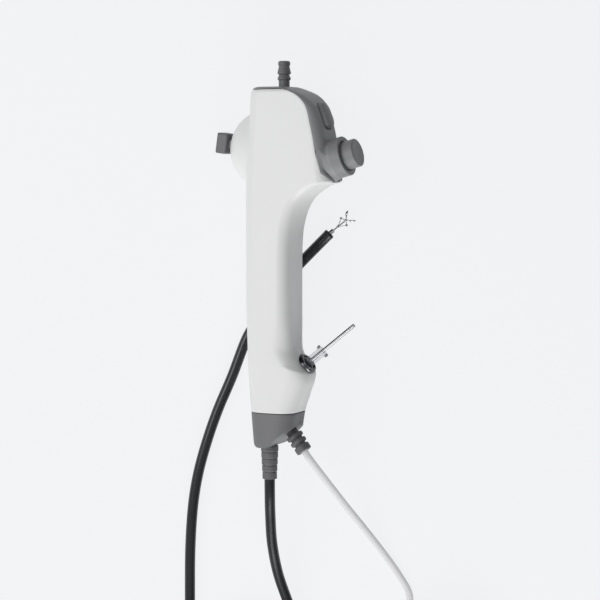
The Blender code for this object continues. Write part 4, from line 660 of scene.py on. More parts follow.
remote = {"centre": (35.9, 18.4), "lean": 22.0, "length": 15.3, "width": 10.4, "proud": 2.6,
          "edge": 1.9, "fall": 1.7, "crown": 0.8}
port = {"point": (25.6, -118.6), "angle": 38.5, "flange": 6.0, "spigot": 4.4}
lever = {"rest": 7.9, "slotHalf": 3.2, "slotLow": -44.0, "slotHigh": 40.0, "reach": 30.0, "hub": 9.0,
         "arm": 24.4, "armHalf": 2.2, "half": 2.5, "axle": 2.3, "pad": (6.5, 11.5, 10.0),
         "padCentre": (-25.65, 0, 0), "padRounding": 0.9}


def slotFan():
    # the slot's outline: an outer arc the lever's way, and an inner one back round its hub
    turns = np.radians(180.0 - np.linspace(lever["slotHigh"], lever["slotLow"], 25))
    fan = np.stack([np.cos(turns), np.sin(turns)], -1)
    return np.concatenate([lever["reach"] * fan, lever["hub"] * fan[::-1]])


def sideShell(name, sign, node):
    # one white half, as a wall whose four edges follow the split, the border line and the end cap
    spec = housingSpec
    lip = spec["lip"]
    u = sectionPlaces()
    u = np.concatenate([[0.01], u[(u > 0.03) & (u < 4.97)], [4.99]])
    stations = steppedSpan((spec["split"] + spec["gap"] + lip, -131.0, 14), (-131.0, -108.0, 42),
                           (-108.0, -40.0, 40), (-40.0, -22.5, 22))[:-1]
    upper = steppedSpan((0.0, 0.12, 14), (0.12, 0.68, 38), (0.68, 0.82, 16), (0.82, 1.0, 14))
    ceiling = edgeHeights(u) - lip - 0.02
    rows = np.concatenate([np.broadcast_to(stations[:, None], (len(stations), len(u))),
                           -22.5 + upper[:, None] * (ceiling + 22.5)])
    flip = np.array([1.0, 1.0, sign])
    points, faces = patchSkin(housingPoint(u, rows) * flip, housingPoint(u, rows, spec["wall"]) * flip, lip)
    shell = newPiece(name, meshFrom(onHandle(points), faces), "handle", "whiteShell",
                     (node,))
    carve(shell, [prism(slotFan(), -lever["slotHalf"], lever["slotHalf"]),
                  roundBar(port["point"], port["angle"], port["spigot"] + 0.3, -14, 9),
                  roundBar(port["point"], port["angle"], port["flange"] + 0.3, -1.2, 9, 64)])
    return shell


def fullSection(u, rows, inset=0.0):
    # both halves of the section as one closed ring for each row
    near = housingPoint(u, rows, inset)
    far = near[:, -2:0:-1] * np.array([1.0, 1.0, -1.0])
    return np.concatenate([near, far], axis=1)


def flaredSeat(points):
    # the skin rises to the valve's seat in a round hollow, wide beside and above it, narrow below
    axis = handleDirection(valve["lean"])
    away = points - np.array([*valve["base"], 0.0])
    high = away @ axis
    flat = away - high[..., None] * axis
    reach = np.linalg.norm(flat, axis=-1)
    upward = flat @ np.array([-axis[1], axis[0], 0.0]) / np.maximum(reach, 1e-6)
    spread = valve["flare"] * (0.2 + 0.8 * easing((upward + 0.05) / 0.95))
    inside = np.clip(valve["seatRadius"] + spread - reach, 0.0, spread)
    wanted = -0.2 - np.sqrt(spread**2 - inside**2)
    lift = (-softMin(-high, -wanted, 1.2) - high) * easing((valve["seatRadius"] + spread - reach) / 1.6)
    ditch = np.exp(-((reach - valve["grooveRadius"]) / valve["grooveWidth"]) ** 2)
    sink = valve["groove"] * ditch * easing((-upward - 0.25) / 0.3)
    return points + (lift - sink)[..., None] * axis


def greyTop():
    # the cover's wall, closed over the top by rings that shrink to a spine
    spec = housingSpec
    lip = 0.3
    u = sectionPlaces()
    floor = edgeHeights(u) + spec["gap"] * 0.8 + lip
    share = steppedSpan((0.0, 0.6, 52), (0.6, 1.0, 34))[:, None]
    closing = np.array([0.97, 0.9, 0.75, 0.5, 0.2])[:, None, None]
    grids = []
    for inset in (0.0, spec["wall"]):
        grid = fullSection(u, floor + share * (spec["top"] - inset - floor), inset)
        grid = grid if inset else flaredSeat(grid)
        last = grid[-1]
        spine = last * np.array([1.0, 1.0, 0.0])
        spine[:, 0] = np.clip(spine[:, 0], last[:, 0].min() + 6, last[:, 0].max() - 6)
        grids.append(np.concatenate([grid, spine + (last - spine) * closing]))
    cover = newPiece("greyCover", closedGrid(onHandle(ringSkin(*grids, lip))), "handle", "greyCover",
                     ("top_cover",))
    seat = [(0.0, -5.8), (11.5, -5.8), (11.5, -2.8), (11.35, -2.1), (11.12, -1.2), (11.0, -0.3),
            (11.0, 0.29), (0.0, 0.29)]
    carve(cover, [turnedCutter(seat, valve["base"], valve["lean"], 96)], "UNION")
    carve(cover, [roundBar(valve["base"], valve["lean"], valve["cylinder"], -9, 3),
                  roundBar((barb["x"], 31.2), 90.0, barb["hole"], 0.0, 6.0),
                  ovalBar(remote["length"] + 0.6, remote["width"] + 0.6, -6.0, 5.0)])
    return cover


def ovalOutline(length, width, corner=4.4, sides=12):
    # rectangle with round corners, as (across, along)
    turn = np.linspace(0.0, math.pi / 2, sides + 1)
    arc = corner * np.stack([np.cos(turn), np.sin(turn)], -1)
    first = arc + np.array([width / 2 - corner, length / 2 - corner])
    second = (arc[::-1] * np.array([-1, 1])) + np.array([corner - width / 2, length / 2 - corner])
    top = np.concatenate([first, second])
    return np.concatenate([top, -top])


def remotePoints(local):
    # local across, along and out of the slope to handle coordinates
    outward = handleDirection(remote["lean"])
    along = handleDirection(remote["lean"] + 90.0)
    local = np.asarray(local, float)
    return np.array([*remote["centre"], 0.0]) + local @ np.stack([np.cross(along, outward), along, outward])


def ovalBar(length, width, low, high):
    # the remote button's outline as a bar that cuts
    ring = ovalOutline(length, width)
    grid = np.stack([np.concatenate([ring, np.full((len(ring), 1), z)], 1) for z in (low, high)])
    return cutter(closedGrid(onHandle(remotePoints(grid))))


def undersideOutline(lift):
    # what lies below the end cap: a round rear corner, a flat, and the slant up to the front
    spec = housingSpec
    slant = math.radians(spec["slant"])
    start = spec["slantStart"] - (lift / math.cos(slant) - lift) / math.tan(slant)
    low = spec["capBottom"] + lift
    rear = float(lineAt(spec["rearLine"], np.array([spec["capBottom"]]))[0]) + lift
    turn = math.pi + np.linspace(0, math.pi / 2, 13)
    bend = spec["endRounding"]
    rounded = np.stack([rear + bend + bend * np.cos(turn), low + bend + bend * np.sin(turn)], -1)
    rest = [(start, low), (80, low + (80 - start) * math.tan(slant)), (80, -240), (-80, -240)]
    return np.concatenate([[(-80, low + bend)], rounded, rest])


def greyEnd():
    # sections from a slightly rounded upper rim down, cut along the underside, hollowed and bored
    spec = housingSpec
    u = sectionPlaces()[::2]
    lip = 0.25
    rows = np.linspace(spec["split"] - lip, -172.0, 24)[:, None] * np.ones(len(u))
    outer = fullSection(u, rows)
    middle = outer[0].mean(0)
    turn = np.linspace(math.pi / 2, 0, 4)[:-1]
    shrink = 1 - lip * (1 - np.cos(turn)) / 10
    lids = middle + (outer[0] - middle) * shrink[:, None, None]
    lids[..., 1] = spec["split"] - lip + lip * np.sin(turn)[:, None]
    cap = newPiece("greyEndCap", closedGrid(onHandle(np.concatenate([lids, outer]))), "handle",
                   "greyEndFinish", ("end_cap",))
    room = cutter(closedGrid(onHandle(fullSection(u, rows + 1.0, spec["wall"]))))
    carve(room, [prism(undersideOutline(2.4), -30, 30)])
    carve(cap, [prism(undersideOutline(0.0), -30, 30), room,
                roundBar((boots["tubeX"], -168.6), 90.0, 4.7, -1, 8),
                roundBar(boots["cable"], boots["cableAngle"], 3.0, -6, 3)])
    return cap


nearShell = sideShell("whiteNearShell", 1.0, "housing_near_shell")
farShell = sideShell("whiteFarShell", -1.0, "housing_far_shell")
coverPiece = greyTop()
capPiece = greyEnd()
print("housing made", [len(piece.data.polygons) for piece in (nearShell, farShell, coverPiece, capPiece)])


# Turned and plate-like pieces

def lathe(name, profile, base, direction, finish, body="handle", nodes=(), rounding=0.2, sides=96):
    # a (radius, height) outline in mm, its corners rounded, turned about a direction of the handle;
    # one that starts on the axis is open there, and any other is closed
    closed = profile[0][0] > 0
    outline = softProfile(profile + profile[:2] * closed, rounding)
    outline = outline[1:-1] if closed else outline
    mesh = turnedMesh(outline, onHandle(base), direction @ handleAxes, sides, closed=closed, sharp=30.0)
    return newPiece(name, mesh, body, finish, nodes)


def sprungValve():
    # collar with its deep ring groove, and the button with a slightly dished end
    base, way = (*valve["base"], 0.0), handleDirection(valve["lean"])
    seat = valve["seatRadius"]
    collar = [(seat, 6.3), (seat, 0.33), (seat, 0.3), (seat - 0.03, 0.3), (4.6, 0.3), (4.6, 1.5),
              (8.2, 1.5), (8.2, 5.9), (8.6, 6.3)]
    lathe("valveCollar", collar, base, way, "greyValve", "handle", ("valve_collar",), 0.45)
    button = [(0.0, 12.95), (3.0, 13.0), (5.6, 13.2), (7.0, 13.3), (7.85, 12.9), (7.85, 5.6), (6.65, 5.6),
              (6.65, 11.1), (2.6, 11.1), (2.6, -8.0), (4.2, -8.0), (4.2, -12.5), (0.0, -12.5)]
    lathe("suctionButton", button, base, way, "greyValve", "suction_valve_button",
          ("suction_button",), 0.4)


def ovalButton():
    # stacked ovals: crowned top, broad round edge, straight side, lip inside the cover, foot
    length, width = remote["length"], remote["width"]
    top = remote["proud"]
    steps = [(share, remote["edge"], top) for share in (0.0, 0.3, 0.55, 0.8)]
    steps += [(1.0, remote["edge"] * (1 - math.sin(t)), top - remote["fall"] * (1 - math.cos(t)))
              for t in np.linspace(0.0, math.pi / 2, 9)]
    steps += [(1.0, 0.0, -3.1), (1.0, -0.8, -3.2), (1.0, -0.8, -4.1)]
    ring = ovalOutline(length, width)
    sides = np.array([width, length]) / 2
    grids = []
    for share, inset, height in steps:
        flat = ring * (1 - inset / sides) * max(share, 0.02)
        crown = remote["crown"] * (1 - ((flat / sides) ** 2).sum(1)) * (height > 0)
        grids.append(np.concatenate([flat, (height + crown)[:, None]], 1))
    body = newPiece("remoteButton", closedGrid(onHandle(remotePoints(np.array(grids)))),
                    "remote_switch_button", "greyValve", ("remote_button",))
    turn = np.linspace(0, math.tau, 32, endpoint=False)
    foot = np.array([[(1.5 * math.cos(t), 1.5 * math.sin(t), z) for t in turn] for z in (-5.1, -3.0)])
    carve(body, [cutter(closedGrid(onHandle(remotePoints(foot))))], "UNION")


def hoseBarb():
    # ribbed end, neck, flange on the cover, then the spigot with a narrower bore inside
    profile = [(2.5, 48.8), (3.2, 48.4), (3.4, 47.5), (3.35, 46.7), (3.0, 46.0), (3.05, 45.3), (3.75, 42.4),
               (3.75, 41.8), (2.85, 41.2), (3.7, 39.2), (3.7, 38.6), (3.05, 38.1), (3.05, 32.9),
               (barb["flange"], 32.9), (barb["flange"], 31.3), (2.6, 31.3), (2.6, 27.0),
               (barb["innerBore"], 27.0), (barb["innerBore"], 32.9), (barb["bore"], 32.9),
               (barb["bore"], 48.8)]
    lathe("hoseBarb", profile, (barb["x"], 0.0, 0.0), handleDirection(90.0), "barbRubber",
          "handle", ("suction_barb",), 0.18)


def instrumentPort():
    # steel ring with a low bead, clear barrel with two ears, and the forceps' shaft
    base, way = (*port["point"], 0.0), handleDirection(port["angle"])
    wide, spigot = port["flange"], port["spigot"]
    flange = [(5.0, 1.5), (5.5, 1.35), (5.55, 0.75), (wide, 0.45), (wide, -0.9), (spigot, -0.9),
              (spigot, -5.0), (3.3, -5.0), (3.3, 0.1), (4.2, 0.5), (4.4, 1.5)]
    lathe("portFlange", flange, base, way, "darkSteel", "handle", ("port_flange",), 0.25)
    barrel = [(2.75, 12.4), (2.75, 0.5), (3.0, 0.2), (3.0, -5.0), (1.4, -5.0), (1.4, 12.4)]
    luer = lathe("luerBarrel", barrel, base, way, "clearBarrel", "handle", ("luer_port",))
    carve(luer, [lugPiece(sign) for sign in (1, -1)], "UNION")
    # painted shade: the clear ears are coloured dark grey, standing for how they look darker than the
    # barrel through their thickness
    luer.data.materials.append(finishes["lugShade"])
    axis = way @ handleAxes
    for face in luer.data.polygons:
        away = np.array(face.center) - onHandle(base)
        rise = away @ axis
        if rise > 9.0 * mm and np.linalg.norm(away - rise * axis) > 2.9 * mm:
            face.material_index = 1
    shaft = [(0.0, 36.0), (1.0, 36.0), (1.0, -8.0), (0.0, -8.0)]
    lathe("forcepsShaft", shaft, base, way, "shaftSteel", "forceps_handle_end", ("forceps_shaft",),
          0.15, 48)


def lugPiece(sign):
    # a short curved ear on the mouth of the barrel
    turn = np.linspace(-0.42, 0.42, 9)[:, None] + (0.0 if sign > 0 else math.pi)
    first, second, axis = perpendiculars(handleDirection(port["angle"]) @ handleAxes)
    around = np.cos(turn) * first + np.sin(turn) * second
    ring = np.array([(2.5, 12.35), (3.9, 12.2), (3.9, 11.2), (2.5, 10.7)]) * mm
    grid = around[:, None] * ring[:, :1] + ring[:, 1:] * axis
    return cutter(closedGrid(onHandle((*port["point"], 0.0)) + grid))


def ribbedProfile(length, top, low, depth, ribs, bore, plugRadius, plugLength, width=0.62):
    # strain relief: a plug, then ribs with grooves of the given depth between them
    pitch = length / ribs
    profile = [(plugRadius, plugLength), (plugRadius, 0.0)]
    for k in range(ribs):
        outer = top + (low - top) * k / max(ribs - 1, 1)
        start = -k * pitch
        profile += [(outer, start), (outer, start - width * pitch)]
        if k < ribs - 1:
            core = outer - depth
            profile += [(core, start - (width + 0.03) * pitch), (core, start - 0.97 * pitch)]
    return profile + [(profile[-1][0], -length), (bore, -length), (bore, plugLength)]


def strainReliefs():
    # one straight below the end cap, and one square to its slanted side
    boot = ribbedProfile(18.9, 4.95, 4.1, 0.5, 5, 3.05, 4.4, 2.9, 0.84)
    top = (boots["tubeX"], housingSpec["capBottom"] - 0.3, 0.0)
    lathe("insertionBoot", boot, top, handleDirection(90.0), "bootRubber", "handle",
          ("insertion_boot",), 0.55)
    boot = ribbedProfile(10.9, 4.9, 4.5, 1.4, 3, 2.05, 3.4, 3.2, 0.6)
    angle = boots["cableAngle"]
    lathe("cableBoot", boot, alongHandle(boots["cable"], angle, 0.3), -handleDirection(angle),
          "darkBootRubber", "handle", ("cable_boot",), 0.6)


def turned(local, angle):
    # points turned in their own plane by an angle in degrees
    c, s = handleDirection(angle)[:2]
    x, y, z = np.moveaxis(np.asarray(local, float), -1, 0)
    return np.stack([x * c - y * s, x * s + y * c, z], -1)


def leverPoints(local):
    # the lever's own millimetres, turned to its rest angle, to world metres
    return onHandle(turned(local, -lever["rest"]))


def roundedBox(size, centre, rounding, steps=5):
    # a cube surface of unit squares, pushed out to a box with round edges, as one welded point set
    quarter = np.linspace(0, math.pi / 2, steps)
    share = np.concatenate([-0.5 - 0.5 * np.sin(quarter[::-1]), 0.5 + 0.5 * np.sin(quarter)])
    n = len(share)
    a, b = np.meshgrid(share, share, indexing="ij")
    faces, points = [], []
    for axis in range(3):
        for sign in (1.0, -1.0):
            square = np.zeros((n, n, 3))
            square[..., axis] = sign
            square[..., (axis + 1) % 3] = a
            square[..., (axis + 2) % 3] = b
            faces.append(gridFaces(n, n, closeColumns=False) + len(points) * n * n)
            points.append(square.reshape(-1, 3))
    cube = np.concatenate(points)
    half = np.asarray(size, float) / 2
    core = half - rounding
    inner = np.clip(cube * half, -core, core)
    edge = np.clip((np.abs(cube) * half - core) / rounding, 0.0, 1.0) * np.sign(cube)
    length = np.linalg.norm(edge, axis=1, keepdims=True)
    reach = np.abs(edge).max(axis=1, keepdims=True)
    edge = edge / np.maximum(length, 1e-9) * np.minimum(reach, 1.0)
    return np.asarray(centre, float) + inner + edge * rounding, np.concatenate(faces)


def thumbLever():
    # arm outline swept through the slot, hub round the axle, and the rounded thumb pad
    start = math.radians(14.1)
    turn = np.linspace(start, math.tau - start, 72)
    arm = np.concatenate([lever["hub"] * np.stack([-np.cos(turn), np.sin(turn)], -1),
                          [(-lever["arm"], -lever["armHalf"]), (-lever["arm"], lever["armHalf"])]])
    half = lever["half"]
    levels = ((-half, 0.97), (0.2 - half, 1.0), (half - 0.2, 1.0), (half, 0.97))
    rings = np.array([[(x * scale, y * scale, z) for x, y in arm] for z, scale in levels])
    piece = newPiece("thumbLever", closedGrid(leverPoints(rings)), "lever", "darkLever",
                     ("control_lever",))
    points, faces = roundedBox(lever["pad"], lever["padCentre"], lever["padRounding"])
    pad = cutter(meshFrom(leverPoints(points), faces))
    middle, axle = onHandle((0, 0, 0)), lever["axle"]
    spacer = [(axle, -7.5), (4.0, -7.5), (4.0, 0.0), (axle, 0.0)]
    carve(piece, [pad, cutter(turnedMesh(spacer, middle, nearWay, 48))], "UNION")
    carve(piece, [cutter(turnedMesh(barProfile(axle, -20, 20), middle, nearWay, 48))])


sprungValve()
ovalButton()
hoseBarb()
instrumentPort()
strainReliefs()
thumbLever()
print("valve, buttons, port, boots and lever made")


# Bending part and tip of the insertion tube

tipSpec = {"end": (36.05, -47.68), "heading": 45.5, "straight": 20.0, "bow": 190.0, "tipLength": 10.0,
           "pitch": 5.0, "links": 7, "low": 3.05, "radius": 3.0, "ball": 2.9, "channel": 1.4,
           "channelHeading": 39.0, "window": 2.05, "lensSeat": 0.78, "lightSeat": 0.62}
tipFace = onTable((*tipSpec["end"], tipSpec["low"]))


def tipRoute(distance):
    # back from the tube's end: straight first, then round a wide circle
    heading = math.radians(tipSpec["heading"])
    straight = np.minimum(distance, tipSpec["straight"])
    bend = np.maximum(distance - tipSpec["straight"], 0.0) / tipSpec["bow"]
    x = tipSpec["end"][0] - straight * math.cos(heading)
    y = tipSpec["end"][1] - straight * math.sin(heading)
    x = x - tipSpec["bow"] * (np.sin(heading + bend) - math.sin(heading))
    y = y - tipSpec["bow"] * (math.cos(heading) - np.cos(heading + bend))
    return np.stack([x, y, np.full_like(np.asarray(x, float), tipSpec["low"])], -1)


def ballEnd(radius, height, sign, steps=9):
    # a ball's side from a flat end out to its widest place, as (radius, height)
    turn = np.linspace(0.85, math.pi / 2, steps)
    side = [(radius * math.sin(t), height + sign * radius * math.cos(t)) for t in turn]
    return [(0.0, side[0][1])] + side


def bendingSleeves():
    # seven short rubber sleeves with ball ends centred on the joints, so the bend stays covered
    made = []
    ball, radius = tipSpec["ball"], tipSpec["radius"]
    for n in range(1, tipSpec["links"] + 1):
        back = tipSpec["tipLength"] + (tipSpec["links"] + 1 - n) * tipSpec["pitch"]
        first, last = tipRoute(np.array([back, back - tipSpec["pitch"]]))
        span = last - first
        length = np.linalg.norm(span)
        profile = ballEnd(ball, 0.0, -1)[:-2] + [(radius, 0.2 - 0.4 * (n == 1)), (radius, length - 0.2)]
        profile += ballEnd(ball, length, 1)[:-2][::-1]
        mesh = turnedMesh(profile, onTable(first), span, 40, closed=False)
        made.append(newPiece(f"bendingSleeve{n}", mesh, f"bend_{n}", "blackSheath"))
    # the last sleeve leaves room for the forceps in the channel
    carve(made[-1], [channelBar(-13.0, 1.5)])
    return made


def channelBar(low, radius):
    # what the forceps' channel takes away, from before the tip's face back to low
    way = handleDirection(tipSpec["channelHeading"])
    return cutter(turnedMesh(barProfile(radius, low, 3.0), tipFace, way, 32))


def tipPiece():
    # rounded face with a low bead behind it, and seats for the channel and the two windows
    way = handleDirection(tipSpec["heading"])
    r = tipSpec["radius"]
    profile = [(0.0, 0.0), (r - 0.55, 0.0), (r - 0.2, -0.12), (r, -0.45), (r + 0.1, -0.7), (r + 0.1, -1.7),
               (r, -1.85), (r, -9.6)] + ballEnd(tipSpec["ball"], -10.0, -1)[:-1][::-1]
    tip = newPiece("distalTip", turnedMesh(profile, tipFace, way, 64, closed=False), "tip", "blackSheath",
                   ("distal_tip",))
    cuts = [channelBar(-9.0, tipSpec["channel"])]
    for size, side in ((tipSpec["lensSeat"], 1), (tipSpec["lightSeat"], -1)):
        centre = tipFace + np.array([0, 0, side * tipSpec["window"] * mm])
        cuts.append(cutter(turnedMesh(barProfile(size, -1.5, 3.0), centre, way, 32)))
    carve(tip, cuts)
    return tip


sleeves = bendingSleeves()
tipEnd = tipPiece()
print("bending part made")


# Biopsy forceps

forcepsSpec = {"heading": 39.0, "pivot": 11.7, "open": 38.5, "jaw": 5.4, "cup": 3.8, "cupDepth": 1.2,
               "cupWidth": 0.95, "cupWall": 0.28, "tail": (-2.864, -0.892), "link": 5.0, "eye": 0.75,
               "bar": 0.26, "pin": 0.3, "clevis": (-9.1, -15.1), "cheek": 1.02, "jawLevel": 0.225,
               "linkLevel": 0.65, "rod": 0.35}


def forcepsPoints(local, turn=0.0):
    # forward, to the left and up from the jaws' pivot, turned about it, to world metres
    pivot = forcepsSpec["pivot"] * handleDirection(forcepsSpec["heading"])
    return tipFace + (turned(local, forcepsSpec["heading"] + turn) + pivot) * mm


def ovalSweep(path, width, thick, level, sides=16):
    # an oval of changing width and thickness carried along a path in one plane
    path = np.asarray(path, float)
    run = np.gradient(path, axis=0)
    run /= np.linalg.norm(run, axis=1)[:, None]
    across = np.stack([-run[:, 1], run[:, 0]], -1)[:, None]
    turn = np.linspace(0, math.tau, sides, endpoint=False)
    flat = path[:, None] + across * (width[:, None] * np.cos(turn))[..., None]
    high = level + np.asarray(thick)[:, None] * np.sin(turn)
    return np.concatenate([flat, high[..., None]], -1)


def eyedBar(path, eyes, bar, thick, level):
    # a slim bar that swells to a round eye at each named point and ends half round
    path = evenPath([(x, y, 0.0) for x, y in path], 0.07)[:, :2]
    first, last = path[1] - path[0], path[-1] - path[-2]
    reach = np.linspace(1.0, 0.0, 12, endpoint=False)[:, None] * forcepsSpec["eye"] * 0.995
    path = np.concatenate([path[0] - reach * first / np.linalg.norm(first), path,
                           path[-1] + reach[::-1] * last / np.linalg.norm(last)])
    width = np.full(len(path), 0.03)
    width[12:-12] = bar
    for x, y in eyes:
        away = np.hypot(path[:, 0] - x, path[:, 1] - y)
        width = np.maximum(width, np.sqrt(np.maximum(forcepsSpec["eye"] ** 2 - away**2, 0.0)))
    keep = width > 0.03
    return ovalSweep(path[keep], width[keep], thick * np.minimum(width[keep] / bar, 1.0), level)


def upright(x, y, radius, low, high):
    # a pin through the plates, as rings from one end to the other
    turn = np.linspace(0, math.tau, 20, endpoint=False)
    steps = [(radius - 0.08, low), (radius, low + 0.08), (radius, high - 0.08), (radius - 0.08, high)]
    return np.array([[(x + r * math.cos(t), y + r * math.sin(t), z) for t in turn] for r, z in steps])


def jawCup(sign):
    # hollow half egg: an outer and an inner half oval at each place along the cup, rim to rim
    spec = forcepsSpec
    half = spec["cup"] / 2
    place = -np.cos(np.linspace(0.03, math.pi - 0.03, 25)) * half
    turn = np.linspace(0, math.pi, 15)
    outer = np.sqrt(1 - (place / half) ** 2)
    inner = np.sqrt(np.maximum(1 - (place / (half - spec["cupWall"])) ** 2, 0.0)) * 0.98 + 0.02 * outer
    rings = []
    for x, big, small in zip(place, outer, inner):
        loop = [(spec["cupDepth"] * big * math.sin(t), spec["cupWidth"] * big * math.cos(t)) for t in turn]
        loop += [((spec["cupDepth"] - spec["cupWall"]) * small * math.sin(t),
                  (spec["cupWidth"] - spec["cupWall"]) * small * math.cos(t)) for t in turn[::-1]]
        rings.append([(spec["jaw"] - half + x, sign * y, z) for y, z in loop])
    return np.array(rings)


def steelPiece(name, grids, turn, body, node):
    # several closed shapes of one piece in one mesh
    points, faces, count = [], [], 0
    for grid in grids:
        faces += [[count + k for k in face] for face in cappedFaces(grid)]
        points.append(forcepsPoints(grid, turn).reshape(-1, 3))
        count += len(points[-1])
    return newPiece(name, meshFrom(np.concatenate(points), faces), body, "brightSteel", (node,))


def roundRod(rings):
    # circles of the given (radius, place) along the forward direction
    turn = np.linspace(0, math.tau, 32, endpoint=False)
    return np.array([[(x, r * math.cos(t), r * math.sin(t)) for t in turn] for r, x in rings])


def biopsyForceps():
    # the links' far end follows from the jaws' opening and the links' length
    spec = forcepsSpec
    made = []
    tail = np.array(spec["tail"])
    joint = turned((*tail, 0.0), spec["open"])[:2]
    drive = joint[0] - math.sqrt(spec["link"] ** 2 - joint[1] ** 2)
    for side, sign in (("left", 1), ("right", -1)):
        end = tail * (1, sign)
        arm = [end, (0.0, 0.0), (1.0, 0.1 * sign), (2.3, 0.45 * sign)]
        shapes = [eyedBar(arm, [end, (0, 0)], spec["bar"], 0.18, sign * spec["jawLevel"]), jawCup(sign),
                  upright(*end, spec["pin"], *sorted((sign * 0.1, sign * 0.86)))]
        made.append(steelPiece(f"forcepsJaw{side.title()}", shapes, sign * spec["open"], f"{side}_jaw",
                               f"jaw_{side}"))
        ends = [(drive, 0.0), tuple(joint * (1, sign))]
        shapes = [eyedBar(ends, ends, spec["bar"], 0.15, sign * spec["linkLevel"])]
        made.append(steelPiece(f"forcepsLink{side.title()}", shapes, 0.0, f"{side}_link", f"link_{side}"))
    start, back = spec["clevis"]
    tube = roundRod([(1.05, start), (1.2, start - 0.15), (1.2, back), (0.5, back), (0.5, start)])
    cheeks = [eyedBar([(start - 0.8, 0.0), (0.0, 0.0)], [(0, 0)], 0.3, 0.13, sign * spec["cheek"])
              for sign in (1, -1)]
    made.append(steelPiece("forcepsClevis", [tube] + cheeks, 0.0, "forceps_head", "forceps_clevis"))
    bar = roundRod([(spec["rod"], start - 4.5), (spec["rod"], drive)])
    widths = np.array([0.1, 0.36, 0.42, 0.45, 0.45, 0.45, 0.42, 0.36, 0.1])
    line = [(x, 0.0) for x in np.linspace(drive - 1.0, drive + 0.5, 9)]
    head = ovalSweep(line, widths, np.full(9, 0.4), 0.0)
    pin = upright(drive, 0.0, spec["pin"], -0.8, 0.8)
    made.append(steelPiece("forcepsRod", [bar, head, pin], 0.0, "forceps_rod", "drive_rod"))
    return made


forcepsPieces = biopsyForceps()
print("forceps made", len(forcepsPieces))


# Cords

tubeSpec = {"radius": 3.0, "low": 3.05, "bootEnd": -184.5, "coilCentre": (-8.6, -302.0), "innerTurn": 30.0,
            "outerTurn": 36.1}


def toTable(point):
    # a point of the handle in table millimetres
    return (onHandle(point) - tableOrigin) / mm


def roundPath(centre, degrees, radius, height):
    # points at each angle, radius and height round an upright axis
    angle = np.radians(degrees)
    return np.stack([centre[0] + radius * np.cos(angle), centre[1] + radius * np.sin(angle), height], -1)


def insertionTube():
    # down from the boot, over the coil's top, once and a half round, and back under the grip
    low = tubeSpec["low"]
    inside = [toTable((boots["tubeX"], y, 0.0)) for y in (-170.0, -178.0, tubeSpec["bootEnd"] - 6.0)]
    lead = inside + [(2.2, -206, 20.6), (3.2, -224, 16.2), (6.6, -243, 11.8), (12.8, -262, 9.35),
                     (18.4, -280, 9.35)]
    entry = roundPath(tubeSpec["coilCentre"], *np.array([[25.0, 33.3, 8.9], [10.0, 30.8, 6.7],
                                                         [-5.0, 30.1, 4.7], [-20.0, 30.0, 3.35]]).T)
    degrees = np.arange(-35.0, -541.0, -12.0)
    ease = easing((-degrees - 180.0) / 180.0)
    radius = tubeSpec["innerTurn"] + (tubeSpec["outerTurn"] - tubeSpec["innerTurn"]) * ease
    turns = roundPath(tubeSpec["coilCentre"], degrees, radius, np.full_like(degrees, low))
    back = [(-44.6, -280.6, low), (-44.6, -258.0, low), (-44.2, -230.0, low), (-42.6, -206.0, low),
            (-39.6, -187.0, low), (-34.5, -168.0, low), (-27.9, -149.0, low), (-19.6, -129.4, low)]
    first = tipSpec["tipLength"] + tipSpec["links"] * tipSpec["pitch"]
    last = tipRoute(first + np.array([34.0, 22.0, 10.0, 0.3]))
    path = onTable(evenPath(np.vstack([lead, entry, turns, back, last]), 3.0))
    piece = newPiece("insertionTube", tubeMesh(path, tubeSpec["radius"] * mm, 28), "handle", "blackSheath",
                     ("insertion_lead", "insertion_coil", "insertion_tube"))
    return piece, path


cableSpec = {"radius": 2.0, "coilCentre": (106.0, -292.0), "coilRadius": 22.0, "pitch": 4.06, "low": 2.05,
             "turns": 8, "start": 137.0, "lift": 4.25}


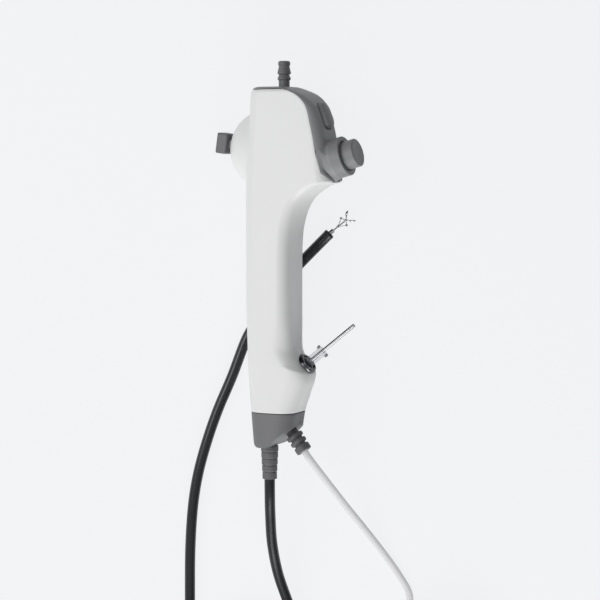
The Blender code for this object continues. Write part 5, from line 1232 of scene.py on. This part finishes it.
def videoCable():
    # out of the small boot, down to the table, eight turns in three layers, and up into the plug
    low, pitch = cableSpec["low"], cableSpec["pitch"]
    outlet = boots["cable"], boots["cableAngle"]
    boot = [toTable(alongHandle(*outlet, step)) for step in (2.0, 7.0, 11.5, 17.0)]
    lead = boot + [(35.4, -188.0, 24.0), (45.2, -202.5, 14.6), (55.4, -216.5, 8.0), (66.4, -231.5, 4.0),
                   (76.3, -246.0, low + 0.15), (82.6, -259.0, low + 0.05)]
    # slots of the winding, as radius and height steps, one for each turn; a change takes 40 degrees
    slots = np.array([(1, 0), (0, 0), (-1, 0), (-1, 1), (0, 1), (1, 1), (1, 2), (0, 2), (0, 2)], float)
    whole = 360.0 * cableSpec["turns"]
    degrees = np.arange(152.0, whole - 4.0, 9.0)
    turn = (degrees - cableSpec["start"]) / 360.0
    index = np.clip(np.floor(turn).astype(int), 0, 8)
    share = easing((turn - index) / 0.11)
    before = slots[np.maximum(index - 1, 0)]
    place = before + (slots[index] - before) * share[:, None]
    swell = np.sin(share * math.pi) * np.array([0, 0, 0, -1, 0, 0, 1, 0, 0.0])[index] * 0.36
    entering = np.clip((degrees - cableSpec["start"]) / 45.0, 0.0, 1.0)
    radius = cableSpec["coilRadius"] + (place[:, 0] + swell) * pitch + (1 - entering) ** 2 * 5.0
    height = low + place[:, 1] * pitch + easing((degrees - whole + 110.0) / 100.0) * cableSpec["lift"]
    coil = roundPath(cableSpec["coilCentre"], degrees, radius, height)
    # straight into the plug's boot, whose middle line is read from its solid
    near, far = np.array(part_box("plug_boot"))
    plugX, _, plugZ = ((near + far) / 2 - tableOrigin) / mm
    plugY = (far[1] - tableOrigin[1]) / mm
    last = [(127.6, -285.0, 14.6), (121.8, -276.0, 15.2), (114.4, -272.2, 16.0), (107.4, -274.0, plugZ),
            (plugX, plugY + 5.0, plugZ), (plugX, plugY - 1.5, plugZ)]
    path = onTable(evenPath(np.vstack([lead, coil, last]), 2.2))
    piece = newPiece("videoCable", tubeMesh(path, cableSpec["radius"] * mm, 20), "handle", "paleCable",
                     ("video_cable", "video_coil", "video_cable_end"))
    return piece, path


tubePiece, tubePath = insertionTube()
cablePiece, cablePath = videoCable()
print("cords laid", round(pathLength(tubePath), 3), round(pathLength(cablePath), 3))
